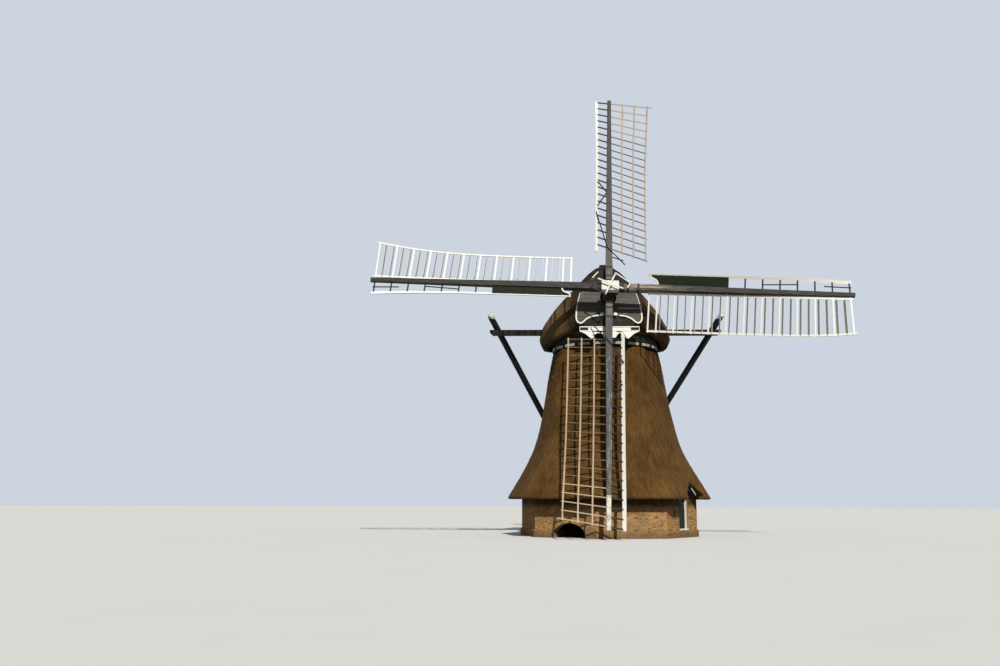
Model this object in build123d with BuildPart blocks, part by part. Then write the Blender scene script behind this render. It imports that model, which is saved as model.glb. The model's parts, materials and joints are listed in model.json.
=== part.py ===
from build123d import *
from math import cos, radians, sin, tan
import os

os.makedirs("parts", exist_ok=True)

# The origin is on the ground at the middle of the octagon, +Z is up, and the sails face -Y at rest.
# All sizes are in millimetres and all angles in degrees.

# Octagon: plan angle of one corner, counted from +X
SIDES = 8
CORNER_TURN = -11.6
HALF_SIDE = 180 / SIDES
TO_FACE = cos(radians(HALF_SIDE))

# Brick base
BASE_REACH = 3630            # from the axis to the outer face of a wall
BRICK = 330
WALL_TOP = 2450
PLINTH_TOP = 310
PLINTH_PROUD = 60
FLOOR_TOP = 310

# Doorway, measured along its wall from the middle of the face
DOOR_SIDE = 3                # which side of the octagon
DOOR_MIDDLE = 170
DOORWAY_WIDTH = 940
DOORWAY_TOP = 1960
FRAME_FACE = 60
FRAME_DEPTH = 110
FRAME_SET = 90               # how far the frame stands back from the wall's face
SILL_HEIGHT = 60
DOOR_THICK = 40
DOOR_GAP = 5
HINGE_SHARES = (0.15, 0.8)   # heights of the two hinges on the leaf
HINGE_PIN = 9
HINGE_WALL = 6
HINGE_HEIGHT = 70
HINGE_PLAY = 0.3

# Little gable over the door
GABLE_HALF = 780
GABLE_TOP = 2270
GABLE_FOOT = 1760
GABLE_BOARD = 40
GABLE_REACH = 270
GABLE_NOTCH = 60             # room between the gable and the thatch

# Low arch that lets the water in
ARCH_SIDE = 1
ARCH_MIDDLE = 190
ARCH_WIDTH = 1600
ARCH_SPRING = 220
ARCH_CROWN = 620
CHANNEL_LENGTH = 2600

# Curb that the cap turns on; its top is the height of the tower
CURB_TOP = 8850
CURB_BOTTOM = CURB_TOP - 300
CURB_INNER = 1800
CURB_OUTER = CURB_INNER + 540
SKIRT_THICK = 60
SKIRT_DROP = 270
TURN_GAP = 0.5
RING_SIDES = 32

# Thatched body: corner radius and height, from the eave up to the curb
BODY_TOP = CURB_OUTER + SKIRT_THICK + 70
BODY_WAIST = BODY_TOP + (BASE_REACH - BODY_TOP) * 0.517
BODY_PROFILE = [(BASE_REACH + 1020, 1630), (BASE_REACH + 570, 2380), (BASE_REACH + 70, 3200),
                (BODY_WAIST, 5000), (BODY_TOP, CURB_BOTTOM - 300)]
THATCH = 340
THATCH_RUNS = 12

# Oak corner posts
POST = 220
POST_FOOT = BASE_REACH - BRICK - 200
POST_HEAD = CURB_INNER + 205

# Windshaft and hub
TILT = 14.2
HUB_REACH = 3200
HUB_HEIGHT = CURB_TOP + 1820
ROTOR_TURN = -2.27
SHAFT_RADIUS = 270
SHAFT_END = 4600
PIN_RADIUS = 60
PIN_END = 5150
RUN_FIT = 0.5
NECK_LENGTH = 1500
POLL_LENGTH = 750
POLL_WALL = 75

# Stocks: the outer one carries the shutter sails, the inner one the cloth sails
STOCK_HALF = 10500
STOCK_GAP = 510
STOCK_HUB = (300, 340)
STOCK_TIP = (170, 160)
STOCK_PLAIN = 450

# Twist of the sails, and how far their bars slant, trailing end towards the hub
PITCH_ROOT = 20
PITCH_TIP = -2
PITCH_POWER = 4.5
SHUTTER_SLANT = 1.5
CLOTH_SLANT = 7
SAIL_ROOT = 1670
SAIL_END = STOCK_HALF - 150

# Cloth sails
CLOTH_BARS = 22
CLOTH_FIRST = 2250
CLOTH_LATHS = [650, 1230, 1845]
BAR_WIDTH = 45
BAR_THICK = 28
BAR_OVERRUN = 60
LATH_WIDTH = 65
LATH_THICK = 34

# Shutter sails
SHUTTER_BARS = 12
SHUTTER_FIRST = 2070
SHUTTER_INNER = 200
SHUTTER_OUTER = 1850
SHUTTER_SHARES = (0.2, 0.65)      # where the two shutters stand between one bar and the next
SHUTTER_WIDTH = 300
SHUTTER_THICK = 12
SHUTTER_PLAY = 0.4
SHUTTER_LEAD = 400

# Leading edges, their brackets and the wind boards
EDGE_MIDDLE = 620
EDGE_WIDTH = 160
EDGE_THICK = 34
EDGE_LEAN = 18
BRACKET = 36
BOARD_THICK = 20
BOARD_START = 1800
BOARD_END = 5100
BOARD_BENDS = 3

# Spider in front of the hub
SPIDER_HALF = 590
SPIDER_WIDTH = 60
SPIDER_BOSS = 70
SPIDER_PLATE = 98
SPIDER_STAND_OFF = 160
SPIDER_TURN = 65

# Timbers of the cap
BEAM_X = 930
BEAM_WIDTH = 280
BEAM_BOTTOM = CURB_TOP + 150
BEAM_TOP = BEAM_BOTTOM + 400
RING_INNER = CURB_INNER + 50
RING_OUTER = CURB_OUTER + 80
NECK_Y = -1800
NECK_DEPTH = 500
NECK_DROP = 120              # from the shaft's axis down to the top of the neck beam
TAIL_BEAM_Y = 1550
TAIL_BEAM_DEPTH = 300
TAIL_BEAM_RISE = 280         # from the shaft's axis up to the top of the tail beam

# Roof of the cap: right halves of three sections from the ridge down to the eave. The front one is
# counted from the shaft's axis, square to it, and the other two, upright, from the curb's top.
SHIELD_BACK = 1000
CAP_MIDDLE_Y = -200
CAP_REAR_Y = 2700
BEAM_END_Y = CAP_REAR_Y + 40
FRONT_SECTION = [(0, 1340), (380, 1300), (890, 800), (1280, 220), (1430, -380), (1480, -990), (1290, -1300)]
MIDDLE_SECTION = [(0, 3580), (330, 3470), (910, 2980), (1540, 2300), (2570, 1090), (3030, 20), (2850, -370)]
REAR_SECTION = [(0, 2630), (300, 2510), (720, 2050), (1000, 1450), (1200, 850), (1300, 350), (1150, 50)]
ROOF_RUNS = 12
CAP_STATIONS = [-1650, -1000, CAP_MIDDLE_Y, 500, 1100, 1700, 2250, CAP_REAR_Y]
CAP_THATCH = 280
EAVE_CUT = 50                # how far the hollow reaches below the eave
RIDGE_HALF = 360
RIDGE_LIFT = 45
RIDGE_CORNER = 2             # corner of the section that the ridge's edge follows

# Boards in front of the cap
SHIELD_TOP = 1330
SHIELD_THICK = 45
SHIELD_SCROLL = 917
SHIELD_PLAY = 90
BREAST_TOP = 850
BREAST_BOTTOM = 1550
BREAST_THICK = 40
BEARD_TOP = 1420
BEARD_HALF = 1310

# Cross-beams, tail and braces
CROSS = 250
CROSS_NOSE = 0.6             # share of the depth that the cut at an end takes
CROSS_HEIGHT = (BEAM_BOTTOM + BEAM_TOP) / 2
CROSS_HALF = 5340
CROSS_Y = -300
SHORT_HALF = 2550
SHORT_Y = 2450
CROSS_PLAY = 10
TAIL = 280
TAIL_TOP_Z = BEAM_TOP - 20
TAIL_LAP = 60
TAIL_FOOT_Y = 6400
TAIL_FOOT_Z = 850
BRACE = 200
BRACE_TIE = CROSS_HALF - 460
BRACE_TOP_Z = CROSS_HEIGHT + 750
BRACE_FOOT_Z = 1150
SHORT_TIE = SHORT_HALF - 250
SHORT_BRACE = 160
SHORT_FOOT_Z = 3900
BRACE_LAP = 30
BRACE_TAIL = 150
WINCH_Z = 1350
WHEEL_RADIUS = 560
WHEEL_RIM = 60
WHEEL_STAND_OFF = 320
WHEEL_SIDES = 24
SPOKE = 40
SPOKE_BARS = 3
AXLE_RADIUS = 45


def keep(piece, name):
    """Label a finished piece and write it under its name."""
    piece.part.label = name
    export_step(piece.part, f"parts/{name}.step")


def rounded(points, count):
    """Corners of a row of short straight runs that follows the smooth curve through the points."""
    with BuildLine() as row:
        Spline(*points)
    return [tuple(row.line @ (step / count))[:2] for step in range(count + 1)]


def flat_faced(rows):
    """A solid through rows of corners. Two flat triangles fill each patch, so that it may twist."""
    faces = [Face(Wire.make_polygon(row)) for row in (rows[0], rows[-1])]
    count = len(rows[0])
    for near, far in zip(rows, rows[1:]):
        for start in range(count):
            end = (start + 1) % count
            patch = [near[start], near[end], far[end], far[start]]
            if start >= count / 2:              # the same diagonal on the front and on the back of a board
                patch = [*patch[1:], patch[0]]
            faces.append(Face(Wire.make_polygon([patch[0], patch[1], patch[2]])))
            faces.append(Face(Wire.make_polygon([patch[0], patch[2], patch[3]])))
    return Solid(Shell(faces))


def outwards(angle):
    """Level direction at a plan angle."""
    return Vector(cos(radians(angle)), sin(radians(angle)), 0)


def side_angle(side):
    """Plan angle of the normal of one side of the octagon; side 0 is left of the front."""
    return CORNER_TURN + HALF_SIDE - 180 + side * 2 * HALF_SIDE


def section_plane(angle):
    """Upright plane through the axis: X runs outwards at the angle, Y up."""
    return Plane(origin=(0, 0, 0), x_dir=outwards(angle), z_dir=outwards(angle - 90))


def face_plane(angle, reach):
    """Plane of a wall face: X runs along the wall, Y up, Z outwards."""
    return Plane(origin=outwards(angle) * reach, x_dir=outwards(angle + 90), z_dir=outwards(angle))


def mitres(angle):
    """The two upright planes that one side of the octagon ends on, facing each other."""
    return [Plane(origin=(0, 0, 0), z_dir=outwards(angle + turn * (HALF_SIDE - 90))) for turn in (1, -1)]


# Brick base

def brick_side(side, cuts=()):
    """One wall of the base with its plinth, ending on the mitres and on any further cut."""
    angle = side_angle(side)
    with BuildPart() as wall:
        with BuildSketch(section_plane(angle)):
            with BuildLine():
                Polyline((BASE_REACH - BRICK, 0), (BASE_REACH + PLINTH_PROUD, 0),
                         (BASE_REACH + PLINTH_PROUD, PLINTH_TOP), (BASE_REACH, PLINTH_TOP),
                         (BASE_REACH, WALL_TOP), (BASE_REACH - BRICK, WALL_TOP), close=True)
            make_face()
        extrude(amount=BASE_REACH, both=True)
        for cut in (*mitres(angle), *cuts):
            split(bisect_by=cut, keep=Keep.TOP)
    return wall


door_angle = side_angle(DOOR_SIDE)
along_door = outwards(door_angle + 90)
door_left = along_door * (DOOR_MIDDLE - DOORWAY_WIDTH / 2)
door_right = along_door * (DOOR_MIDDLE + DOORWAY_WIDTH / 2)
left_of_door = Plane(origin=door_left, z_dir=-along_door)
right_of_left = Plane(origin=door_left, z_dir=along_door)
right_of_door = Plane(origin=door_right, z_dir=along_door)
left_of_right = Plane(origin=door_right, z_dir=-along_door)
over_door = Plane(origin=(0, 0, DOORWAY_TOP), z_dir=(0, 0, 1))
under_door = Plane(origin=(0, 0, PLINTH_TOP), z_dir=(0, 0, -1))

with BuildPart() as wall_door_sides:
    for cut in (left_of_door, right_of_door):
        add(brick_side(DOOR_SIDE, [cut]).part)
keep(wall_door_sides, "wall_door_sides")
keep(brick_side(DOOR_SIDE, [right_of_left, left_of_right, over_door]), "wall_door_over")
keep(brick_side(DOOR_SIDE, [right_of_left, left_of_right, under_door]), "door_threshold")

plain_walls = {0: "wall_left", 2: "wall_front", 4: "wall_right", 5: "wall_rear_right",
               6: "wall_rear", 7: "wall_rear_left"}
for side, wall_name in plain_walls.items():
    keep(brick_side(side), wall_name)

with BuildPart() as wall_channel:
    add(brick_side(ARCH_SIDE).part)
    with BuildSketch(face_plane(side_angle(ARCH_SIDE), BASE_REACH + BRICK)):
        with BuildLine():
            left_foot = (ARCH_MIDDLE - ARCH_WIDTH / 2, 0)
            right_foot = (ARCH_MIDDLE + ARCH_WIDTH / 2, 0)
            left_spring = (ARCH_MIDDLE - ARCH_WIDTH / 2, ARCH_SPRING)
            right_spring = (ARCH_MIDDLE + ARCH_WIDTH / 2, ARCH_SPRING)
            Polyline(left_spring, left_foot, right_foot, right_spring)
            ThreePointArc(right_spring, (ARCH_MIDDLE, ARCH_CROWN), left_spring)
        make_face()
    extrude(amount=-3 * BRICK, mode=Mode.SUBTRACT)
keep(wall_channel, "wall_channel")

with BuildPart() as ground_floor:
    with BuildSketch():
        RegularPolygon(BASE_REACH - BRICK, SIDES, major_radius=False, rotation=CORNER_TURN)
    extrude(amount=FLOOR_TOP)
    with BuildSketch(face_plane(side_angle(ARCH_SIDE), BASE_REACH)):
        with Locations((ARCH_MIDDLE, 0)):
            Rectangle(ARCH_WIDTH, 2 * ARCH_CROWN)
    extrude(amount=-CHANNEL_LENGTH - BRICK, mode=Mode.SUBTRACT)
keep(ground_floor, "ground_floor")

# Doorway: white frame, hinged leaf and the little gable in the thatch

frame_face = face_plane(door_angle, BASE_REACH - FRAME_SET)
frame_back = BASE_REACH - FRAME_SET - FRAME_DEPTH
leaf_height = DOORWAY_TOP - FRAME_FACE - PLINTH_TOP - SILL_HEIGHT - 2 * DOOR_GAP
leaf_width = DOORWAY_WIDTH - 2 * FRAME_FACE - 2 * DOOR_GAP
leaf_left = DOOR_MIDDLE - leaf_width / 2
leaf_bottom = PLINTH_TOP + SILL_HEIGHT + DOOR_GAP
barrel = HINGE_PIN + HINGE_WALL
hinge_spots = [leaf_bottom + leaf_height * share for share in HINGE_SHARES]
pin_along = leaf_left - DOOR_GAP / 2
pin_reach = frame_back - barrel - DOOR_GAP


def hinge_plane(height):
    """Level plane at a hinge, with its origin on the pin's axis."""
    spot = face_plane(door_angle, pin_reach).from_local_coords(Vector(pin_along, height, 0))
    return Plane(origin=spot, x_dir=along_door, z_dir=(0, 0, 1))


with BuildPart() as door_frame:
    with BuildSketch(frame_face):
        with Locations((DOOR_MIDDLE, (DOORWAY_TOP + PLINTH_TOP) / 2)):
            Rectangle(DOORWAY_WIDTH, DOORWAY_TOP - PLINTH_TOP)
        with Locations((DOOR_MIDDLE, (DOORWAY_TOP - FRAME_FACE + PLINTH_TOP + SILL_HEIGHT) / 2)):
            Rectangle(DOORWAY_WIDTH - 2 * FRAME_FACE, DOORWAY_TOP - FRAME_FACE - PLINTH_TOP - SILL_HEIGHT,
                      mode=Mode.SUBTRACT)
    extrude(amount=-FRAME_DEPTH)
    with BuildSketch(frame_face):
        with Locations((DOOR_MIDDLE, PLINTH_TOP + SILL_HEIGHT / 2)):
            Rectangle(DOORWAY_WIDTH, SILL_HEIGHT)
    extrude(amount=FRAME_SET)
    for height in hinge_spots:
        with BuildSketch(hinge_plane(height - HINGE_HEIGHT)):
            Circle(barrel)
            with Locations((-barrel / 2 - DOOR_GAP, -(barrel + DOOR_GAP) / 2)):
                Rectangle(barrel, barrel + DOOR_GAP)
        extrude(amount=HINGE_HEIGHT)
        with BuildSketch(hinge_plane(height)):
            Circle(HINGE_PIN)
        extrude(amount=HINGE_HEIGHT)
keep(door_frame, "door_frame")

with BuildPart() as door_leaf:
    with BuildSketch(face_plane(door_angle, frame_back)):
        with Locations((DOOR_MIDDLE, leaf_bottom + leaf_height / 2)):
            Rectangle(leaf_width, leaf_height)
    extrude(amount=DOOR_THICK)
    for height in hinge_spots:
        with BuildSketch(hinge_plane(height + HINGE_PLAY)):
            Circle(barrel)
            with Locations((leaf_width / 4, -barrel)):
                Rectangle(leaf_width / 2, 2 * DOOR_GAP)
            with Locations((barrel / 2, -(barrel + DOOR_GAP) / 2)):
                Rectangle(barrel, barrel + DOOR_GAP)
            Circle(HINGE_PIN + HINGE_PLAY, mode=Mode.SUBTRACT)
        extrude(amount=HINGE_HEIGHT)
keep(door_leaf, "door_leaf")


def gable_line(lift):
    """Corners of the gable's upper edge, raised by a lift."""
    return [(DOOR_MIDDLE - GABLE_HALF, GABLE_FOOT + lift), (DOOR_MIDDLE, GABLE_TOP + lift),
            (DOOR_MIDDLE + GABLE_HALF, GABLE_FOOT + lift)]


with BuildPart() as door_gable:
    with BuildSketch(face_plane(door_angle, BASE_REACH)):
        with BuildLine():
            Polyline(*gable_line(0), *reversed(gable_line(-GABLE_BOARD)), close=True)
        make_face()
    extrude(amount=GABLE_REACH)
keep(door_gable, "door_gable")

# Thatched body

def thatch_field(side):
    """One side of the thatch: its curved section run along the side and cut to the mitres."""
    angle = side_angle(side)
    outer = rounded([(radius * TO_FACE, height) for radius, height in BODY_PROFILE], THATCH_RUNS)
    inner = [(reach - THATCH, height) for reach, height in outer]
    with BuildPart() as field:
        with BuildSketch(section_plane(angle)):
            with BuildLine():
                Polyline(*outer, *reversed(inner), close=True)
            make_face()
            with Locations((BASE_REACH / 2, WALL_TOP / 2)):
                Rectangle(BASE_REACH, WALL_TOP, mode=Mode.SUBTRACT)
        extrude(amount=BASE_REACH, both=True)
        for cut in mitres(angle):
            split(bisect_by=cut, keep=Keep.TOP)
    return field


field_names = {0: "thatch_left", 1: "thatch_channel", 2: "thatch_front", 4: "thatch_right",
               5: "thatch_rear_right", 6: "thatch_rear", 7: "thatch_rear_left"}
for side, field_name in field_names.items():
    keep(thatch_field(side), field_name)

with BuildPart() as thatch_door:
    add(thatch_field(DOOR_SIDE).part)
    with BuildSketch(face_plane(door_angle, BASE_REACH - BRICK)):
        with BuildLine():
            notch = GABLE_HALF + GABLE_NOTCH
            Polyline((DOOR_MIDDLE - notch, 0), (DOOR_MIDDLE + notch, 0),
                     (DOOR_MIDDLE + notch, GABLE_FOOT + GABLE_NOTCH),
                     (DOOR_MIDDLE, GABLE_TOP + GABLE_NOTCH),
                     (DOOR_MIDDLE - notch, GABLE_FOOT + GABLE_NOTCH), close=True)
        make_face()
    extrude(amount=BASE_REACH, mode=Mode.SUBTRACT)
keep(thatch_door, "thatch_door")

# Oak corner posts and the curb that the cap turns on

with BuildPart() as corner_posts:
    for corner in range(SIDES):
        with BuildSketch(section_plane(CORNER_TURN + corner * 2 * HALF_SIDE)):
            with BuildLine():
                Polyline((POST_FOOT, FLOOR_TOP), (POST_HEAD, CURB_BOTTOM),
                         (POST_HEAD - POST, CURB_BOTTOM), (POST_FOOT - POST, FLOOR_TOP), close=True)
            make_face()
        extrude(amount=POST / 2, both=True)
keep(corner_posts, "corner_posts")

with BuildPart() as curb_ring:
    for low, inner, outer in ((CURB_BOTTOM, CURB_INNER, CURB_OUTER),
                              (CURB_BOTTOM - SKIRT_DROP, CURB_OUTER, CURB_OUTER + SKIRT_THICK)):
        with BuildSketch(Plane.XY.offset(low)):
            RegularPolygon(outer, RING_SIDES)
            RegularPolygon(inner, RING_SIDES, mode=Mode.SUBTRACT)
        extrude(amount=CURB_TOP - low)
keep(curb_ring, "curb_ring")

# Windshaft frame: AHEAD points along the shaft towards the sails, RISE up in the sails' plane

AHEAD = Vector(0, -cos(radians(TILT)), sin(radians(TILT)))
RISE = Vector(0, sin(radians(TILT)), cos(radians(TILT)))
HUB = Vector(0, -HUB_REACH, HUB_HEIGHT)
SHAFT_START = STOCK_GAP + STOCK_HUB[1] / 2 + POLL_WALL


def shaft_plane(back, turn=0):
    """Plane square to the shaft, a distance behind the hub and turned anticlockwise from the front."""
    across = Vector(cos(radians(turn)), 0, 0) + RISE * sin(radians(turn))
    return Plane(origin=HUB - AHEAD * back, x_dir=across, z_dir=AHEAD)


def shaft_height(middle):
    """Height of the shaft's axis at a place along the cap."""
    return HUB_HEIGHT - (middle + HUB_REACH) * tan(radians(TILT))


# Cap: the roof goes through sections between the three that are given

def upright(middle):
    """Upright plane across the cap, with its origin on the level of the curb's top: X to the right, Y up."""
    return Plane(origin=(0, middle, CURB_TOP), x_dir=(1, 0, 0), z_dir=(0, -1, 0))


KEY_PLANES = [shaft_plane(SHIELD_BACK), upright(CAP_MIDDLE_Y), upright(CAP_REAR_Y)]
KEY_ROWS = [rounded(row, ROOF_RUNS) for row in (FRONT_SECTION, MIDDLE_SECTION, REAR_SECTION)]


def rail_row(middle):
    """Section of the cap at a station: each corner lies on the curve through its three key corners."""
    row = []
    for corners in zip(*KEY_ROWS):
        keys = [plane.from_local_coords(Vector(*corner)) for plane, corner in zip(KEY_PLANES, corners)]
        across, height = 0, 0
        for key in keys:
            weight = 1
            for other in keys:
                if other is not key:
                    weight *= (middle - other.Y) / (key.Y - other.Y)
            across += weight * key.X
            height += weight * key.Z
        row.append((across, height - CURB_TOP))
    return row


CAP_SECTIONS = [(KEY_PLANES[0], KEY_ROWS[0]),
                *[(upright(middle), rail_row(middle)) for middle in CAP_STATIONS]]


def inset(points, depth):
    """The same row of points moved inwards by a depth, square to the row."""
    moved = []
    for index, point in enumerate(points):
        before = Vector(*points[max(index - 1, 0)])
        after = Vector(*points[min(index + 1, len(points) - 1)])
        run = (after - before).normalized()
        moved.append((max(point[0] + run.Y * depth, 0), point[1] - run.X * depth))
    moved[0] = (0, points[0][1] - depth)
    moved[-1] = (points[-1][0] - depth, points[-1][1])
    return moved


def cap_half(depth, drop):
    """Right half of the cap's body, inset by a depth and reaching a drop below the eave."""
    rows = []
    for plane, points in CAP_SECTIONS:
        row = inset(points, depth) if depth else points
        foot = row[-1][1] - drop - 1
        corners = [*row, (row[-1][0], foot), (0, foot)]
        rows.append([plane.from_local_coords(Vector(*corner)) for corner in corners])
    return flat_faced(rows)


def beam_box(y_from, y_to, z_from, z_to, x_from, x_to):
    """A squared timber between two corners."""
    box = Box(x_to - x_from, y_to - y_from, z_to - z_from, mode=Mode.PRIVATE)
    return Pos((x_from + x_to) / 2, (y_from + y_to) / 2, (z_from + z_to) / 2) * box


beam_inner = BEAM_X - BEAM_WIDTH / 2
beam_outer = BEAM_X + BEAM_WIDTH / 2
cross_low = CROSS_HEIGHT - CROSS / 2
cross_high = CROSS_HEIGHT + CROSS / 2
cap_outer = cap_half(0, 0)
cap_inner = cap_half(CAP_THATCH, EAVE_CUT)

with BuildPart() as cap_thatch_right:
    add(cap_outer)
    add(cap_inner, mode=Mode.SUBTRACT)
    play = CROSS_PLAY
    add(beam_box(-2 * HUB_REACH, CAP_REAR_Y, BEAM_BOTTOM - BEAM_WIDTH, BEAM_TOP + play, 0, beam_outer + play),
        mode=Mode.SUBTRACT)
    for middle in (CROSS_Y, SHORT_Y):
        add(beam_box(middle - CROSS / 2 - play, middle + CROSS / 2 + play, cross_low - play, cross_high + play,
                     0, CROSS_HALF), mode=Mode.SUBTRACT)
keep(cap_thatch_right, "cap_thatch_right")

with BuildPart() as cap_thatch_left:
    add(cap_thatch_right.part)
    mirror(about=Plane.YZ, mode=Mode.REPLACE)
keep(cap_thatch_left, "cap_thatch_left")

ridge_rows = []
for plane, points in CAP_SECTIONS:
    top = points[0][1] + RIDGE_LIFT
    edge = points[RIDGE_CORNER][1]
    corners = [(-RIDGE_HALF, edge - RIDGE_HALF / 4), (-RIDGE_HALF, edge + RIDGE_LIFT / 2),
               (-RIDGE_HALF / 2, top), (RIDGE_HALF / 2, top), (RIDGE_HALF, edge + RIDGE_LIFT / 2),
               (RIDGE_HALF, edge - RIDGE_HALF / 4)]
    ridge_rows.append([plane.from_local_coords(Vector(*corner)) for corner in corners])

with BuildPart() as cap_ridge:
    add(flat_faced(ridge_rows))
    add(cap_outer, mode=Mode.SUBTRACT)
    add(mirror(cap_outer, about=Plane.YZ, mode=Mode.PRIVATE), mode=Mode.SUBTRACT)
keep(cap_ridge, "cap_ridge")

# Boards that close the cap in front: shield, breast board and beard, all square to the shaft

with BuildPart() as front_shield:
    with BuildSketch(shaft_plane(SHIELD_BACK)):
        with BuildLine():
            side_edge = Polyline((0, SHIELD_TOP), (FRONT_SECTION[1][0], SHIELD_TOP), *FRONT_SECTION[2:6])
            curl = ThreePointArc(side_edge @ 1, (1420, -1215), (1270, -1300))
            ogee = Spline(curl @ 1, (910, -1040), (450, -SHIELD_SCROLL),
                          tangents=[(-1, 0.05), (-1, 0)])
            Line(ogee @ 1, (0, -SHIELD_SCROLL))
            mirror(about=Plane.YZ)
        make_face()
        Circle(SHAFT_RADIUS + SHIELD_PLAY, mode=Mode.SUBTRACT)
    extrude(amount=SHIELD_THICK)
keep(front_shield, "front_shield")

with BuildPart() as breast_board:
    with BuildSketch(shaft_plane(SHIELD_BACK)):
        with Locations((0, -(BREAST_TOP + BREAST_BOTTOM) / 2)):
            Rectangle(2 * beam_outer, BREAST_BOTTOM - BREAST_TOP)
    extrude(amount=-BREAST_THICK)
keep(breast_board, "breast_board")

with BuildPart() as beard:
    with BuildSketch(shaft_plane(SHIELD_BACK)):
        with BuildLine():
            brow = Polyline((0, -BEARD_TOP), (BEARD_HALF, -BEARD_TOP), (BEARD_HALF, -BEARD_TOP - 230))
            cheek = Spline(brow @ 1, (1050, -1760), (850, -1960), (790, -2005))
            lobe = ThreePointArc(cheek @ 1, (700, -1950), (684, -1827))
            hollow = ThreePointArc(lobe @ 1, (450, -1745), (253, -1960))
            Line(hollow @ 1, (0, -1960))
            mirror(about=Plane.YZ)
        make_face()
    extrude(amount=SHIELD_THICK)
keep(beard, "beard")

with BuildPart() as rear_shield:
    rear_plane = CAP_SECTIONS[-1][0]
    with BuildSketch(rear_plane):
        with BuildLine():
            Polyline(*KEY_ROWS[-1], (0, REAR_SECTION[-1][1]), close=True)
        make_face()
        mirror(about=Plane.YZ)
        with Locations((0, BEAM_TOP - CURB_TOP - BEAM_WIDTH * 2)):
            Rectangle(4 * BEAM_X, BEAM_WIDTH * 4, mode=Mode.SUBTRACT)
    extrude(amount=-(BEAM_END_Y - CAP_REAR_Y))
keep(rear_shield, "rear_shield")

# Timbers that carry the cap

behind_breast = shaft_plane(SHIELD_BACK + BREAST_THICK)

with BuildPart() as side_beams:
    for sign in (-1, 1):
        x_edges = sorted((sign * beam_inner, sign * beam_outer))
        add(beam_box(-HUB_REACH, BEAM_END_Y, BEAM_BOTTOM, BEAM_TOP, *x_edges))
    split(bisect_by=behind_breast, keep=Keep.BOTTOM)
    for middle in (CROSS_Y, SHORT_Y):
        add(beam_box(middle - CROSS / 2, middle + CROSS / 2, cross_low, cross_high, -CROSS_HALF, CROSS_HALF),
            mode=Mode.SUBTRACT)
keep(side_beams, "side_beams")

with BuildPart() as cap_ring:
    with BuildSketch(Plane.XY.offset(CURB_TOP + TURN_GAP)):
        RegularPolygon(RING_OUTER, RING_SIDES)
        RegularPolygon(RING_INNER, RING_SIDES, mode=Mode.SUBTRACT)
    extrude(amount=BEAM_BOTTOM - CURB_TOP - TURN_GAP)
keep(cap_ring, "cap_ring")

with BuildPart() as neck_beam:
    neck_top = shaft_height(NECK_Y) - NECK_DROP
    add(beam_box(NECK_Y - NECK_DEPTH / 2, NECK_Y + NECK_DEPTH / 2, BEAM_TOP, neck_top, -beam_outer,
                 beam_outer))
    with BuildSketch(shaft_plane(0)):
        Circle(SHAFT_RADIUS + RUN_FIT)
        with Locations((0, SHAFT_RADIUS)):
            Rectangle(2 * (SHAFT_RADIUS + RUN_FIT), 2 * SHAFT_RADIUS)
    extrude(amount=-SHAFT_END, mode=Mode.SUBTRACT)
keep(neck_beam, "neck_beam")

with BuildPart() as tail_beam:
    add(beam_box(TAIL_BEAM_Y - TAIL_BEAM_DEPTH / 2, TAIL_BEAM_Y + TAIL_BEAM_DEPTH / 2, cross_low,
                 shaft_height(TAIL_BEAM_Y) + TAIL_BEAM_RISE, -beam_inner, beam_inner))
    with BuildSketch(shaft_plane(SHAFT_START)):
        Circle(PIN_RADIUS + RUN_FIT)
    extrude(amount=-PIN_END - SHAFT_START, mode=Mode.SUBTRACT)
keep(tail_beam, "tail_beam")

# Cross-beams, tail pole and braces that turn the cap from the ground


def chamfered_beam(middle, half):
    """A cross-beam with the lower corners of its ends cut off."""
    with BuildPart() as beam:
        with BuildSketch(Plane(origin=(0, middle, CROSS_HEIGHT), x_dir=(1, 0, 0), z_dir=(0, -1, 0))):
            with BuildLine():
                top, cut = CROSS / 2, CROSS * CROSS_NOSE
                Polyline((-half, top), (half, top), (half, top - CROSS + cut), (half - cut, -top),
                         (cut - half, -top), (-half, top - CROSS + cut), close=True)
            make_face()
        extrude(amount=CROSS / 2, both=True)
    return beam


with BuildPart() as cross_beams:
    add(chamfered_beam(CROSS_Y, CROSS_HALF).part)
    add(chamfered_beam(SHORT_Y, SHORT_HALF).part)
keep(cross_beams, "cross_beams")

tail_head_y = SHORT_Y + CROSS / 2 + TAIL / 2 - TAIL_LAP


def tail_y(height):
    """Where the middle of the tail pole is at a height."""
    share = (CROSS_HEIGHT - height) / (CROSS_HEIGHT - TAIL_FOOT_Z)
    return tail_head_y + (TAIL_FOOT_Y - tail_head_y) * share


with BuildPart() as winch_wheel:
    wheel_middle = (0, tail_y(WINCH_Z) + WHEEL_STAND_OFF, WINCH_Z)
    wheel_plane = Plane(origin=wheel_middle, x_dir=(1, 0, 0), z_dir=(0, 1, 0))
    with BuildSketch(wheel_plane):
        RegularPolygon(WHEEL_RADIUS, WHEEL_SIDES)
        RegularPolygon(WHEEL_RADIUS - WHEEL_RIM, WHEEL_SIDES, mode=Mode.SUBTRACT)
        with PolarLocations(0, SPOKE_BARS):
            Rectangle(2 * WHEEL_RADIUS - WHEEL_RIM, SPOKE)
        Circle(2 * AXLE_RADIUS)
    extrude(amount=WHEEL_RIM)
    with BuildSketch(wheel_plane):
        Circle(AXLE_RADIUS)
    extrude(amount=-WHEEL_STAND_OFF - TAIL)
keep(winch_wheel, "winch_wheel")

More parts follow.
